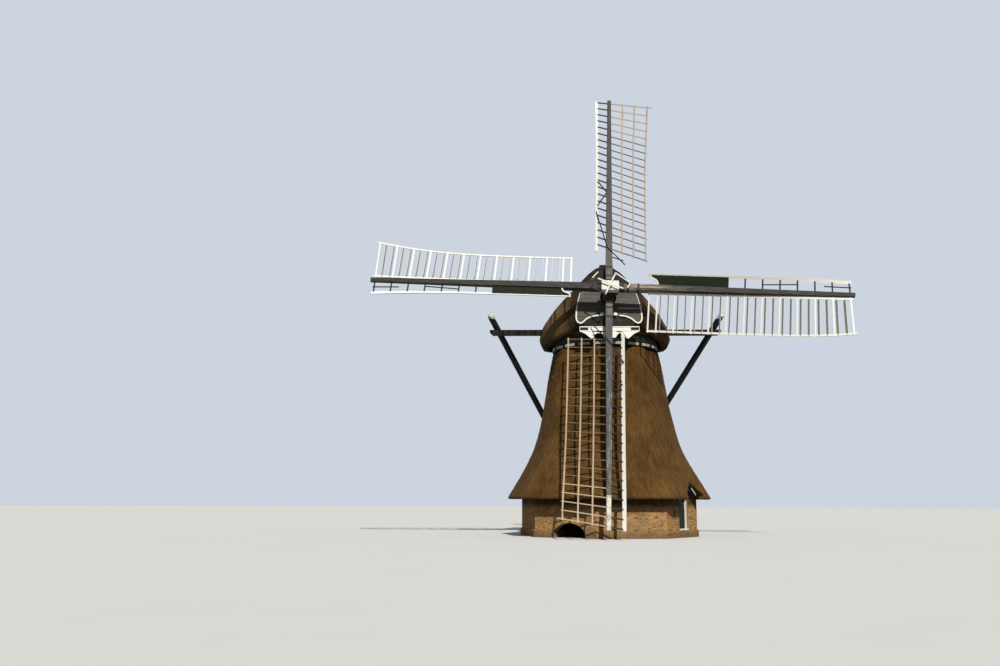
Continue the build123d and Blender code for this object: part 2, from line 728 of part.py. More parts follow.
with BuildPart() as tail_pole:
    with BuildSketch(section_plane(90)):
        with BuildLine():
            head_y = tail_y(TAIL_TOP_Z)
            Polyline((head_y - TAIL / 2, TAIL_TOP_Z), (head_y + TAIL / 2, TAIL_TOP_Z),
                     (TAIL_FOOT_Y + TAIL / 2, TAIL_FOOT_Z), (TAIL_FOOT_Y - TAIL / 2, TAIL_FOOT_Z), close=True)
        make_face()
    extrude(amount=TAIL / 2, both=True)
    add(cross_beams.part, mode=Mode.SUBTRACT)
    add(winch_wheel.part, mode=Mode.SUBTRACT)
keep(tail_pole, "tail_pole")


def brace(tie, foot, top, thick):
    """A square brace through a tie and a foot, run on to a height and a little past the foot."""
    lean = (tie - foot).normalized()
    start = foot - lean * BRACE_TAIL
    with BuildPart() as timber:
        with BuildSketch(Plane(origin=start, x_dir=Vector(0, 0, 1).cross(lean), z_dir=lean)):
            Rectangle(thick, thick)
        extrude(amount=(top - start.Z) / lean.Z)
    return timber.part


def brace_pair(tie_x, beam_y, foot_z, top, thick):
    """The left and right brace from a cross-beam's rear face down to the tail pole's sides."""
    pair = []
    for sign in (-1, 1):
        tie = Vector(sign * tie_x, beam_y + (CROSS + thick) / 2 - BRACE_LAP, CROSS_HEIGHT)
        foot = Vector(sign * ((TAIL + thick) / 2 - BRACE_LAP), tail_y(foot_z), foot_z)
        pair.append(brace(tie, foot, top, thick))
    return pair


with BuildPart() as braces:
    add(brace_pair(BRACE_TIE, CROSS_Y, BRACE_FOOT_Z, BRACE_TOP_Z, BRACE))
    add(brace_pair(SHORT_TIE, SHORT_Y, SHORT_FOOT_Z, CROSS_HEIGHT + CROSS, SHORT_BRACE))
    add(cross_beams.part, mode=Mode.SUBTRACT)
    add(tail_pole.part, mode=Mode.SUBTRACT)
keep(braces, "braces")

# Windshaft and the iron poll end that holds both stocks

with BuildPart() as windshaft:
    with BuildSketch(shaft_plane(SHAFT_START)):
        Circle(SHAFT_RADIUS)
    extrude(amount=-(NECK_LENGTH))
    with BuildSketch(shaft_plane(SHAFT_START + NECK_LENGTH)):
        RegularPolygon(SHAFT_RADIUS, SIDES)
    extrude(amount=-(SHAFT_END - SHAFT_START - NECK_LENGTH))
    with BuildSketch(shaft_plane(SHAFT_END)):
        Circle(PIN_RADIUS)
    extrude(amount=-(PIN_END - SHAFT_END))
keep(windshaft, "windshaft")


def sail_plane(quarter):
    """Frame of one sail: X out along the stock, Y towards its leading edge, Z ahead."""
    back = STOCK_GAP if quarter % 2 else 0
    return shaft_plane(back, ROTOR_TURN + 90 * quarter)


def pitch_at(out):
    """Twist of a sail at a distance out from the hub: slow at the root and quick at the tip."""
    share = max(out - SAIL_ROOT, 0) / (SAIL_END - SAIL_ROOT)
    return PITCH_ROOT - (PITCH_ROOT - PITCH_TIP) * share ** PITCH_POWER


def blade_plane(quarter, out):
    """Plane of one bar of a sail: X along the bar towards the leading edge, Y ahead, Z outwards."""
    sail = sail_plane(quarter)
    pitch = radians(pitch_at(out))
    slant = radians(CLOTH_SLANT if quarter % 2 else SHUTTER_SLANT)
    lead = sail.y_dir * cos(pitch) + sail.z_dir * sin(pitch)
    return Plane(origin=sail.from_local_coords(Vector(out, 0, 0)),
                 x_dir=lead * cos(slant) + sail.x_dir * sin(slant),
                 z_dir=sail.x_dir * cos(slant) - lead * sin(slant))


def taper(plane, hub, tip):
    """Outline of a stock seen square to one of its faces: parallel through the hub, tapered to both tips."""
    with BuildSketch(plane) as outline:
        with BuildLine():
            Polyline((-STOCK_HALF, tip / 2), (-STOCK_PLAIN, hub / 2), (STOCK_PLAIN, hub / 2),
                     (STOCK_HALF, tip / 2), (STOCK_HALF, -tip / 2), (STOCK_PLAIN, -hub / 2),
                     (-STOCK_PLAIN, -hub / 2), (-STOCK_HALF, -tip / 2), close=True)
        make_face()
    return outline.sketch


def stock(sail):
    """A stock, as wide as its outline from the front and as deep as its outline from the side."""
    from_side = Plane(origin=sail.origin, x_dir=sail.x_dir, z_dir=sail.y_dir)
    with BuildPart() as beam:
        extrude(taper(sail, STOCK_HUB[0], STOCK_TIP[0]), amount=STOCK_HUB[1], both=True)
        extrude(taper(from_side, STOCK_HUB[1], STOCK_TIP[1]), amount=STOCK_HUB[0], both=True,
                mode=Mode.INTERSECT)
    return beam


stock_outer = stock(sail_plane(0))
keep(stock_outer, "stock_outer")
stock_inner = stock(sail_plane(1))
keep(stock_inner, "stock_inner")

with BuildPart() as poll_end:
    seam = -STOCK_GAP / 2
    front = STOCK_HUB[1] / 2 + POLL_WALL
    with BuildSketch(shaft_plane(-front, ROTOR_TURN)):
        RectangleRounded(POLL_LENGTH, STOCK_HUB[0] + 2 * POLL_WALL, POLL_WALL / 3)
    extrude(amount=-(front - seam))
    with BuildSketch(shaft_plane(-seam, ROTOR_TURN)):
        RectangleRounded(STOCK_HUB[0] + 2 * POLL_WALL, POLL_LENGTH, POLL_WALL / 3)
    extrude(amount=-(SHAFT_START + seam))
    add(stock_outer.part, mode=Mode.SUBTRACT)
    add(stock_inner.part, mode=Mode.SUBTRACT)
keep(poll_end, "poll_end")


def lath(quarter, across, stations, width, thick, lean=0, depth=0):
    """A lath or board along a sail that follows its twist, at a distance towards the leading edge."""
    rows = []
    for out in stations:
        plane = blade_plane(quarter, out)
        corners = ((-1, -1), (1, -1), (1, 1), (-1, 1))
        spots = [Vector(x * width / 2, y * thick / 2).rotate(Axis.Z, lean) for x, y in corners]
        rows.append([plane.from_local_coords(Vector(across, depth) + spot) for spot in spots])
    return flat_faced(rows)


def bars(quarter, stations, start, end, width, thick):
    """Bars across a sail, one at each station, between two distances from the stock's middle."""
    with BuildPart() as row:
        with BuildSketch(*[blade_plane(quarter, out) for out in stations]):
            with Locations(((start + end) / 2, 0)):
                Rectangle(abs(end - start), thick)
        extrude(amount=width / 2, both=True)
    return row.part


def spread(first, last, count):
    """Evenly spaced values from first to last."""
    return [first + (last - first) * step / (count - 1) for step in range(count)]


cloth_bars = spread(CLOTH_FIRST, SAIL_END, CLOTH_BARS)
shutter_bars = spread(SHUTTER_FIRST, SAIL_END - BAR_WIDTH, SHUTTER_BARS)


def stations_along(row, start):
    """Places where a lath or board bends: its start, every third bar, the last bars one by one, its end."""
    inner, outer = row[:len(row) * 2 // 3], row[len(row) * 2 // 3:]
    return [start, *inner[::3], *outer, SAIL_END + BAR_OVERRUN]


lath_stations = stations_along(cloth_bars, CLOTH_FIRST - BAR_OVERRUN)


def cloth_lattice(quarter):
    """Bars and laths of one cloth sail, halved together, ending on the stock."""
    timbers = [lath(quarter, -across, lath_stations, LATH_WIDTH, LATH_THICK) for across in CLOTH_LATHS]
    timbers.append(bars(quarter, cloth_bars, 0, -CLOTH_LATHS[-1] - BAR_OVERRUN, BAR_WIDTH, BAR_THICK))
    with BuildPart() as lattice:
        add(timbers)
        add(stock_inner.part, mode=Mode.SUBTRACT)
    return lattice


with BuildPart() as cloth_lattices:
    for quarter in (1, 3):
        add(cloth_lattice(quarter).part)
keep(cloth_lattices, "cloth_lattices")

shutter_bay = shutter_bars[1] - shutter_bars[0]
shutter_spots = [out + shutter_bay * share for out in shutter_bars[:-1] for share in SHUTTER_SHARES]
shutter_stations = [shutter_bars[0] - SHUTTER_LEAD, *shutter_spots, SAIL_END + BAR_OVERRUN]


def shutter_frame(quarter):
    """Bars of one shutter sail and the two laths that the shutters turn in, which bend at each shutter."""
    timbers = [lath(quarter, -across, shutter_stations, LATH_WIDTH, LATH_THICK)
               for across in (SHUTTER_INNER, SHUTTER_OUTER)]
    stations = [shutter_stations[0] + BAR_WIDTH, *shutter_bars]
    timbers.append(bars(quarter, stations, 0, -SHUTTER_OUTER - BAR_OVERRUN, BAR_WIDTH, BAR_THICK))
    with BuildPart() as frame:
        add(timbers)
        add(stock_outer.part, mode=Mode.SUBTRACT)
    return frame


def shutters(quarter):
    """Open shutters of one sail, standing square to it between the frame's laths."""
    seat = LATH_WIDTH / 2 + SHUTTER_PLAY
    return bars(quarter, shutter_spots, -SHUTTER_INNER - seat, -SHUTTER_OUTER + seat, SHUTTER_THICK,
                SHUTTER_WIDTH)


with BuildPart() as shutter_frames:
    for quarter in (0, 2):
        add(shutter_frame(quarter).part)
keep(shutter_frames, "shutter_frames")

with BuildPart() as shutter_blades:
    for quarter in (0, 2):
        add(shutters(quarter))
keep(shutter_blades, "shutters")

# Leading edges, the brackets that hold them and the wind boards near the hub

with BuildPart() as leading_edges:
    for quarter in range(4):
        stations = lath_stations if quarter % 2 else stations_along(shutter_bars, BOARD_START)
        add(lath(quarter, EDGE_MIDDLE, stations, EDGE_WIDTH, EDGE_THICK, EDGE_LEAN))
keep(leading_edges, "leading_edges")

with BuildPart() as brackets:
    for quarter in range(4):
        end = EDGE_MIDDLE - EDGE_WIDTH / 2 + EDGE_THICK
        add(bars(quarter, cloth_bars if quarter % 2 else shutter_bars, 0, end, BRACKET, BRACKET))
    for neighbour in (stock_outer, stock_inner, leading_edges):
        add(neighbour.part, mode=Mode.SUBTRACT)
keep(brackets, "brackets")

board_stations = spread(BOARD_START, BOARD_END, BOARD_BENDS)
with BuildPart() as wind_boards:
    for quarter in (0, 2):
        add(lath(quarter, EDGE_MIDDLE / 2, board_stations, EDGE_MIDDLE, BOARD_THICK,
                 depth=(BRACKET + BOARD_THICK) / 2))
    for neighbour in (stock_outer, leading_edges, brackets):
        add(neighbour.part, mode=Mode.SUBTRACT)
keep(wind_boards, "wind_boards")

# Iron spider in front of the hub, whose rods open and close the shutters

with BuildPart() as spider:
    front = STOCK_HUB[1] / 2 + POLL_WALL
    with BuildSketch(shaft_plane(-front)):
        Circle(SPIDER_BOSS)
    extrude(amount=SPIDER_STAND_OFF)
    with BuildSketch(shaft_plane(-front - SPIDER_STAND_OFF, SPIDER_TURN)):
        Rectangle(2 * SPIDER_HALF, SPIDER_WIDTH)
        Rectangle(SPIDER_WIDTH, 2 * SPIDER_HALF)
        Circle(SPIDER_PLATE)
    extrude(amount=-SPIDER_WIDTH / 2)
keep(spider, "spider")
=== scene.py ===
# %% [markdown]
# # A thatched mill with two kinds of sail
# The packed model holds every timber, wall and iron of the mill at its real size. This lesson gives it
# the surfaces that show: reed thatch, hand-laid brick, tarred boards and old paint.
# Loading comes first, because every later piece is placed by the sizes and axes found here.

# %% Load the packed mill
import json
import math

import bmesh
import bpy
import numpy as np
from mathutils import Matrix, Vector, noise


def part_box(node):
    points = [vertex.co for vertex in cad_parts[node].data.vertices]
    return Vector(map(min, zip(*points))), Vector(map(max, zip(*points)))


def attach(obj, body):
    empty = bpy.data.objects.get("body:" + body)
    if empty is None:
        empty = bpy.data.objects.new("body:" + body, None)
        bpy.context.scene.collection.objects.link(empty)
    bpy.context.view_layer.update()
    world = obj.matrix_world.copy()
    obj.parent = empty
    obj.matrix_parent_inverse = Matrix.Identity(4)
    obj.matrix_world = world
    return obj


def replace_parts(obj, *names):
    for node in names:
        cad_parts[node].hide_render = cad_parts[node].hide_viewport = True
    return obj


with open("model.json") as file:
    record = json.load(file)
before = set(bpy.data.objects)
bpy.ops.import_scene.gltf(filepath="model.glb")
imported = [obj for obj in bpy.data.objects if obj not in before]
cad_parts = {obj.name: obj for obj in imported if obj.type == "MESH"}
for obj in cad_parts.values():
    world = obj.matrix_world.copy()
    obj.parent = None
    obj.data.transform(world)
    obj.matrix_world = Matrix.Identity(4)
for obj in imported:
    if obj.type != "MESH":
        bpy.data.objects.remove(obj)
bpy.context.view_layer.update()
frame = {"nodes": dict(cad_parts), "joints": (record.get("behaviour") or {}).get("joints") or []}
nodes = frame["nodes"]
joints = {joint["name"]: joint for joint in frame["joints"]}

# %% [markdown]
# ## The camera
# A camera that stands where the photograph was taken makes every later comparison simple. The place
# and the three angles were found by fitting the mill's straight timbers, and the lens follows from
# them. The same view could be reached by eye, but a fitted one stays true for each sail tip at once.

# %% Place the camera
CAMERA_PLACE = Vector((-3.644, -42.137, 1.489))
LOOK_RIGHT, LOOK_UP, LEAN = -0.0292, 0.1822, 0.0036      # radians
LENS, FARTHEST = 32.93, 1000


def put(name, data):
    """A new object with this data, linked to the scene."""
    thing = bpy.data.objects.new(name, data)
    bpy.context.scene.collection.objects.link(thing)
    return thing


ahead = Vector((math.sin(LOOK_RIGHT) * math.cos(LOOK_UP), math.cos(LOOK_RIGHT) * math.cos(LOOK_UP),
                math.sin(LOOK_UP)))
level = Vector((math.cos(LOOK_RIGHT), -math.sin(LOOK_RIGHT), 0))
upward = level.cross(ahead)
right = level * math.cos(LEAN) + upward * math.sin(LEAN)
above = upward * math.cos(LEAN) - level * math.sin(LEAN)

camera = put("camera", bpy.data.cameras.new("camera"))
camera.data.lens = LENS
camera.data.clip_end = FARTHEST
camera.matrix_world = Matrix.Translation(CAMERA_PLACE) @ Matrix((right, above, -ahead)).transposed().to_4x4()
bpy.context.scene.camera = camera
print("camera height", round(CAMERA_PLACE.z, 2))

# %% [markdown]
# ## Light and background
# A sun lamp stands in front, a little to the right and about halfway up, and an even sky fills the
# shadows. Together they light a white card to about white, so a colour looks the way it is written.
# The camera and the reflections see a pale backdrop through Light Path, which adds no light of its own.

# %% Light the stage
SUN_TURN, SUN_RISE = -79, 42           # degrees in plan from +X, and above the ground
SUN_STRENGTH, SUN_SPREAD = 3.6, 1.2    # the spread is in degrees
SUN_COLOUR = (1, 0.965, 0.9)
SKY_STRENGTH, SKY_COLOUR = 0.22, (0.93, 0.96, 1, 1)
BACKDROP = (0.60, 0.66, 0.74, 1)


def toward(turn, rise=0):
    """Direction at a plan angle and a height angle, both in degrees."""
    turn, rise = math.radians(turn), math.radians(rise)
    return Vector((math.cos(turn) * math.cos(rise), math.sin(turn) * math.cos(rise), math.sin(rise)))


def seen_directly(tree):
    """1 for a ray seen straight, in a reflection or through glass, and 0 for light that bounces."""
    rays = tree.nodes.new("ShaderNodeLightPath").outputs
    seen = rays["Is Camera Ray"]
    for kind in ("Is Glossy Ray", "Is Transmission Ray"):
        either = tree.nodes.new("ShaderNodeMath")
        either.operation = "MAXIMUM"
        tree.links.new(seen, either.inputs[0])
        tree.links.new(rays[kind], either.inputs[1])
        seen = either.outputs[0]
    return seen


lamp = put("sun", bpy.data.lights.new("sun", "SUN"))
lamp.data.energy = SUN_STRENGTH
lamp.data.angle = math.radians(SUN_SPREAD)
lamp.data.color = SUN_COLOUR
lamp.rotation_euler = toward(SUN_TURN, SUN_RISE).to_track_quat("Z", "Y").to_euler()

world = bpy.data.worlds.new("studio")
bpy.context.scene.world = world
world.use_nodes = True
sky = world.node_tree.nodes
fill = sky["Background"]
fill.inputs["Color"].default_value = SKY_COLOUR
fill.inputs["Strength"].default_value = SKY_STRENGTH
backdrop = sky.new("ShaderNodeBackground")
backdrop.inputs["Color"].default_value = BACKDROP
choice = sky.new("ShaderNodeMixShader")
for source, socket in ((seen_directly(world.node_tree), choice.inputs[0]),
                       (fill.outputs[0], choice.inputs[1]), (backdrop.outputs[0], choice.inputs[2]),
                       (choice.outputs[0], sky["World Output"].inputs[0])):
    world.node_tree.links.new(source, socket)
bpy.context.scene.view_settings.view_transform = "Standard"
print("sun strength", SUN_STRENGTH, "sky strength", SKY_STRENGTH)

# %% [markdown]
# ## Piles of small solids
# Bricks, boards and reeds come in hundreds. One object for each would be slow, so they are gathered
# into a pile and written as one mesh. Each solid carries a tint, a number that its finish reads as
# its own shade. Arrays by modifier would be shorter, but every brick would then look the same.

# %% Gather solids into one mesh


class Pile:
    """Solids gathered for one mesh. Each has a tint from 0 to 1 that its finish can read."""

    def __init__(self):
        self.corners, self.faces, self.tints, self.count = [], [], [], 0

    def add(self, corners, faces, tint=0.5):
        corners = np.asarray([tuple(corner) for corner in corners], float)
        self.corners.append(corners)
        self.faces += [[index + self.count for index in face] for face in faces]
        self.tints.append(np.full(len(corners), tint))
        self.count += len(corners)

    def mesh(self, name):
        """The pile as one mesh that keeps every tint."""
        mesh = bpy.data.meshes.new(name)
        mesh.from_pydata(np.concatenate(self.corners).tolist(), [], self.faces)
        tint = mesh.attributes.new("tint", "FLOAT", "POINT")
        tint.data.foreach_set("value", np.concatenate(self.tints))
        return mesh

    def piece(self, name, body, slot, finish, smooth=False):
        """Write the pile as one object that rides on a body."""
        mesh = self.mesh(name)
        mesh.polygons.foreach_set("use_smooth", [smooth] * len(mesh.polygons))
        mesh.update()
        mesh.materials.append(finish)
        thing = put(name, mesh)
        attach(thing, body)
        print(name, len(mesh.polygons), "faces")
        return thing


print("an empty pile has", Pile().count, "corners")

# %% [markdown]
# ## Blocks with softened edges
# No sawn timber or brick has a knife edge, and a small chamfer is what catches the light. A bevel
# modifier could cut it, but a block is simple enough to write down: each corner of the box becomes
# three points, one on each face that meets there.

# %% Make blocks
CORNERS = [(x, y, z) for x in (-1, 1) for y in (-1, 1) for z in (-1, 1)]
MOST_CHAMFER = 0.8                     # the largest chamfer, as a share of half the smallest side


def block_faces():
    """Faces of a chamfered box whose points are numbered corner * 3 + axis."""
    points = {}
    for number, corner in enumerate(CORNERS):
        for axis in range(3):
            points[number * 3 + axis] = Vector([sign * (1 if k == axis else MOST_CHAMFER)
                                                for k, sign in enumerate(corner)])
    faces = []
    for axis in range(3):
        first, second = [k for k in range(3) if k != axis]
        for sign in (-1, 1):
            ring = [n for n, c in enumerate(CORNERS) if c[axis] == sign]
            ring.sort(key=lambda n: math.atan2(CORNERS[n][second], CORNERS[n][first]))
            faces.append([n * 3 + axis for n in ring])
        for low in (n for n, c in enumerate(CORNERS) if c[axis] == -1):
            high = CORNERS.index(tuple(1 if k == axis else s for k, s in enumerate(CORNERS[low])))
            faces.append([low * 3 + first, high * 3 + first, high * 3 + second, low * 3 + second])
    faces += [[n * 3, n * 3 + 1, n * 3 + 2] for n in range(len(CORNERS))]
    outward = []
    for face in faces:
        a, b, c = (points[index] for index in face[:3])
        middle = sum((points[index] for index in face), Vector()) / len(face)
        outward.append(face if (b - a).cross(c - b).dot(middle) > 0 else face[::-1])
    return outward


BLOCK = block_faces()


def block(pile, middle, size, axes, chamfer=0.004, tint=0.5):
    """A chamfered box: its middle, its three sizes and the three directions they run in."""
    axes = [Vector(axis).normalized() for axis in axes]
    mirrored_axes = axes[0].cross(axes[1]).dot(axes[2]) < 0
    half = [length / 2 for length in size]
    chamfer = min([chamfer] + [length * MOST_CHAMFER for length in half])
    corners = []
    for corner in CORNERS:
        for flat in range(3):
            spot = Vector(middle)
            for k, sign in enumerate(corner):
                spot += axes[k] * sign * (half[k] - (0 if k == flat else chamfer))
            corners.append(spot)
    pile.add(corners, [face[::-1] for face in BLOCK] if mirrored_axes else BLOCK, tint)


def block_on(pile, plane, spot, size, chamfer=0.004, tint=0.5):
    """A block whose middle and sizes are measured along a plane's own X, Y and Z."""
    block(pile, plane @ Vector(spot), size, plane.to_3x3().transposed(), chamfer, tint)


def beam(pile, start, end, width, depth, facing, chamfer=0.004, tint=0.5):
    """A block that runs from one point to another; its depth is measured along the facing."""
    run = Vector(end) - Vector(start)
    side = run.cross(Vector(facing)).normalized()
    front = side.cross(run).normalized()
    middle = (Vector(start) + Vector(end)) / 2
    block(pile, middle, (run.length, width, depth), (run, side, front), chamfer, tint)


print("faces of a block", len(BLOCK))

# %% [markdown]
# ## Slabs, ribbons and rods
# Three more forms make nearly everything else. A slab is a flat outline raised from a face, for
# bricks and arch stones. A ribbon follows a drawn line with a flat moulding, for painted trim.
# A rod follows a line with a round section, for iron. A skin closes any row of rings into a solid.

# %% Raise slabs from a face
LEAST_MITRE = 0.4                      # keeps a mitred corner from running out to a spike


def circle(radius, sides, middle=(0, 0)):
    """Corners of a round outline, anticlockwise."""
    turns = [2 * math.pi * number / sides for number in range(sides)]
    return [(middle[0] + radius * math.cos(turn), middle[1] + radius * math.sin(turn)) for turn in turns]


def mirrored(outline, sign):
    """An outline drawn on the right, or its mirror image on the left in the same sense of turn."""
    return [(sign * x, y) for x, y in (outline if sign > 0 else outline[::-1])]


def shrink(outline, amount):
    """The corners of a convex outline in two dimensions, moved inwards."""
    moved = []
    for index, corner in enumerate(outline):
        here = Vector(corner)
        into = (here - Vector(outline[index - 1])).normalized()
        away = (Vector(outline[(index + 1) % len(outline)]) - here).normalized()
        first, second = Vector((-into.y, into.x)), Vector((-away.y, away.x))
        moved.append(here + (first + second) * amount / (1 + first.dot(second)))
    return moved


def skin(pile, rings, tint=0.5):
    """Close a row of equal rings of points into a solid."""
    size = len(rings[0])
    faces = [list(range(size))[::-1], [index + size * (len(rings) - 1) for index in range(size)]]
    for step in range(len(rings) - 1):
        for index in range(size):
            after = (index + 1) % size
            faces.append([step * size + index, step * size + after,
                          (step + 1) * size + after, (step + 1) * size + index])
    pile.add([spot for ring in rings for spot in ring], faces, tint)


def slab(pile, plane, outline, proud, chamfer=0.003, sunk=0.004, tint=0.5):
    """An outline (anticlockwise) on a plane, raised by a height, with a chamfered rim."""
    levels = [(outline, -sunk), (outline, proud - chamfer), (shrink(outline, chamfer), proud)]
    skin(pile, [[plane @ Vector((x, y, height)) for x, y in row] for row, height in levels], tint)


print("corners of a round slab", len(circle(1, 16)))

# %% [markdown]
# A plane is kept as a matrix: it turns a drawing in two dimensions into points on a wall, a sail or
# the cap. Mouldings and irons then need only a line of points and a section.

# %% Run mouldings and rods along a line


def plane_at(origin, x_dir, z_dir):
    """Matrix of a plane from its origin, its X direction and its normal."""
    x_dir, z_dir = Vector(x_dir).normalized(), Vector(z_dir).normalized()
    turned = Matrix((x_dir, z_dir.cross(x_dir), z_dir)).transposed().to_4x4()
    return Matrix.Translation(Vector(origin)) @ turned


def ribbon(pile, path, normal, width, thick, chamfer=0.006, tint=0.5):
    """A flat moulding that follows a path on a face, with mitred corners."""
    path, normal = [Vector(spot) for spot in path], Vector(normal).normalized()
    half = width / 2
    section = [(half, 0), (half, thick - chamfer), (half - chamfer, thick), (chamfer - half, thick),
               (-half, thick - chamfer), (-half, 0)]
    rings = []
    for index, spot in enumerate(path):
        runs = [(path[k + 1] - path[k]).normalized() for k in (index - 1, index) if 0 <= k < len(path) - 1]
        sides = [run.cross(normal).normalized() for run in runs]
        side = sum(sides, Vector()).normalized()
        side /= max(side.dot(sides[0]), LEAST_MITRE)
        rings.append([spot + side * across + normal * height for across, height in section])
    skin(pile, rings, tint)


def rod(pile, path, radius, sides=8, tint=0.5):
    """A round bar through a row of points."""
    path = [Vector(spot) for spot in path]
    rings, start = [], None
    for index, spot in enumerate(path):
        run = (path[min(index + 1, len(path) - 1)] - path[max(index - 1, 0)]).normalized()
        start = start or run.orthogonal()
        start = (start - run * start.dot(run)).normalized()
        other = run.cross(start)
        rings.append([spot + start * x + other * y for x, y in circle(radius, sides)])
    skin(pile, rings, tint)


def bolt(pile, spot, normal, radius=0.018, height=0.012, tint=0.5):
    """A six-sided bolt head on a face."""
    plane = plane_at(spot, Vector(normal).orthogonal(), normal)
    slab(pile, plane, circle(radius, 6), height, chamfer=radius / 5, tint=tint)


def read_off(rows, place):
    """The second value of a table's rows, read at a place between their first values."""
    places, values = zip(*sorted(rows))
    return float(np.interp(place, places, values))


print("halfway along a table", read_off([(0, 0), (1, 1)], 0.5))

# %% [markdown]
# ## Words for finishes
# A finish is a small network of nodes around one shader. The class below gives each kind of node a
# short word, so that a finish reads like a recipe: stretch the grain, add noise, pick colours, raise
# the bumps. All of it is worked out in space, so no surface has to be unwrapped.

# %% Start a finish


class Finish:
    """A material, with short words for the nodes that feed its shader."""

    def __init__(self, name, roughness=0.7, metallic=0.0, shine=0.12):
        self.material = bpy.data.materials.new(name)
        self.material.use_nodes = True
        self.tree = self.material.node_tree
        self.shader = self.tree.nodes["Principled BSDF"]
        self.shader.inputs["Roughness"].default_value = roughness
        self.shader.inputs["Metallic"].default_value = metallic
        self.shader.inputs["Specular IOR Level"].default_value = shine
        self.place = self.node("TexCoord").outputs["Object"]

    def node(self, kind, **settings):
        """A node of a kind, with its settings."""
        node = self.tree.nodes.new("ShaderNode" + kind)
        for key, value in settings.items():
            setattr(node, key, value)
        return node

    def feed(self, socket, value):
        """Link a socket to another, or set it to a number, a vector or a colour."""
        if isinstance(value, bpy.types.NodeSocket):
            self.tree.links.new(value, socket)
        else:
            socket.default_value = value

    def math(self, operation, first, second=0.0):
        node = self.node("Math", operation=operation)
        self.feed(node.inputs[0], first)
        self.feed(node.inputs[1], second)
        return node.outputs[0]

    def vector(self, operation, first, second):
        node = self.node("VectorMath", operation=operation)
        self.feed(node.inputs[0], first)
        self.feed(node.inputs["Scale" if operation == "SCALE" else 1], second)
        return node.outputs["Value" if operation == "DOT_PRODUCT" else "Vector"]

    def reach(self, direction):
        """Distance of a place along a direction."""
        return self.vector("DOT_PRODUCT", self.place, tuple(direction))

    def along(self, direction, stretch):
        """The place squeezed along a direction, so that a pattern on it looks stretched that way."""
        direction = Vector(direction).normalized()
        shift = self.math("MULTIPLY", self.reach(direction), 1 / stretch - 1)
        return self.vector("ADD", self.place, self.vector("SCALE", tuple(direction), shift))

    def combine(self, x, y, z=0.0):
        node = self.node("CombineXYZ")
        for socket, value in zip(node.inputs, (x, y, z)):
            self.feed(socket, value)
        return node.outputs[0]

    def noise(self, scale, place=None, detail=3.0, rough=0.55):
        node = self.node("TexNoise")
        self.feed(node.inputs["Vector"], place or self.place)
        for key, value in (("Scale", scale), ("Detail", detail), ("Roughness", rough)):
            node.inputs[key].default_value = value
        return node.outputs[0]

    def bricks(self, place, wide, high, joint, *colours):
        """Flat brickwork in two brick colours and one mortar colour."""
        node = self.node("TexBrick")
        self.feed(node.inputs["Vector"], place)
        sizes = (("Scale", 1.0), ("Mortar Size", joint), ("Brick Width", wide), ("Row Height", high))
        for key, value in sizes:
            node.inputs[key].default_value = value
        for key, colour in zip(("Color1", "Color2", "Mortar"), colours):
            node.inputs[key].default_value = (*colour, 1)
        return node.outputs["Color"]

    def ramp(self, value, *stops):
        """Colours by value: each stop is a position and a colour."""
        node = self.node("ValToRGB")
        self.feed(node.inputs[0], value)
        while len(node.color_ramp.elements) < len(stops):
            node.color_ramp.elements.new(0.5)
        for element, (position, colour) in zip(node.color_ramp.elements, stops):
            element.position = position
            element.color = (*colour, 1)
        return node.outputs[0]

    def limits(self, value, low, high, start=0.0, end=1.0):
        """A value spread from start to end as it goes from low to high."""
        node = self.node("MapRange")
        for socket, number in zip(node.inputs, (value, low, high, start, end)):
            self.feed(socket, number)
        return node.outputs[0]

    def mix(self, share, first, second, blend="MIX"):
        node = self.node("Mix", data_type="RGBA", blend_type=blend)
        self.feed(node.inputs[0], share)
        for socket, colour in ((node.inputs[6], first), (node.inputs[7], second)):
            self.feed(socket, (*colour, 1) if isinstance(colour, tuple) else colour)
        return node.outputs[2]

    def tint(self):
        return self.node("Attribute", attribute_name="tint").outputs["Fac"]

    def colour(self, value):
        self.feed(self.shader.inputs["Base Color"], value)

    def coloured(self):
        """What feeds the shader's colour so far."""
        return self.shader.inputs["Base Color"].links[0].from_socket

    def rough(self, value):
        self.feed(self.shader.inputs["Roughness"], value)

    def bump(self, height, distance):
        """Raise the surface by a height, on top of what was raised before."""
        node = self.node("Bump")
        node.inputs["Distance"].default_value = distance
        self.feed(node.inputs["Height"], height)
        if self.shader.inputs["Normal"].is_linked:
            self.feed(node.inputs["Normal"], self.shader.inputs["Normal"].links[0].from_socket)
        self.feed(self.shader.inputs["Normal"], node.outputs[0])


print("words for a finish", len([word for word in vars(Finish) if not word.startswith("_")]))

# %% [markdown]
# ## The pale floor
# The mill stands on a wide plain disc that only catches its shadow. It is part of the stage. Light
# that bounces off the disc meets a darker colour than the camera sees, so that the shade under the
# eave stays deep. Light Path tells the two kinds of ray apart.

# %% Lay the floor
FLOOR_RADIUS, FLOOR_SIDES = 260, 72
FLOOR_BOUNCE = (0.17, 0.17, 0.16)
FLOOR_PALE, FLOOR_PALER = (0.70, 0.71, 0.70), (0.74, 0.74, 0.73)

floor_mesh = bpy.data.meshes.new("floor")
floor_mesh.from_pydata([(x, y, 0) for x, y in circle(FLOOR_RADIUS, FLOOR_SIDES)], [],
                       [list(range(FLOOR_SIDES))])
floor = put("floor", floor_mesh)
paper = Finish("pale_floor", roughness=0.95)
pale = paper.mix(paper.noise(0.4), FLOOR_PALE, FLOOR_PALER)
paper.colour(paper.mix(seen_directly(paper.tree), FLOOR_BOUNCE, pale))
floor_mesh.materials.append(paper.material)
print("floor radius", FLOOR_RADIUS)

# %% [markdown]
# ## Where things are
# The turning axes come from the packed joints, and the sides of the octagon from its first corner.
# A small set of planes here saves guessing later: every brick face and every sail asks for its own.

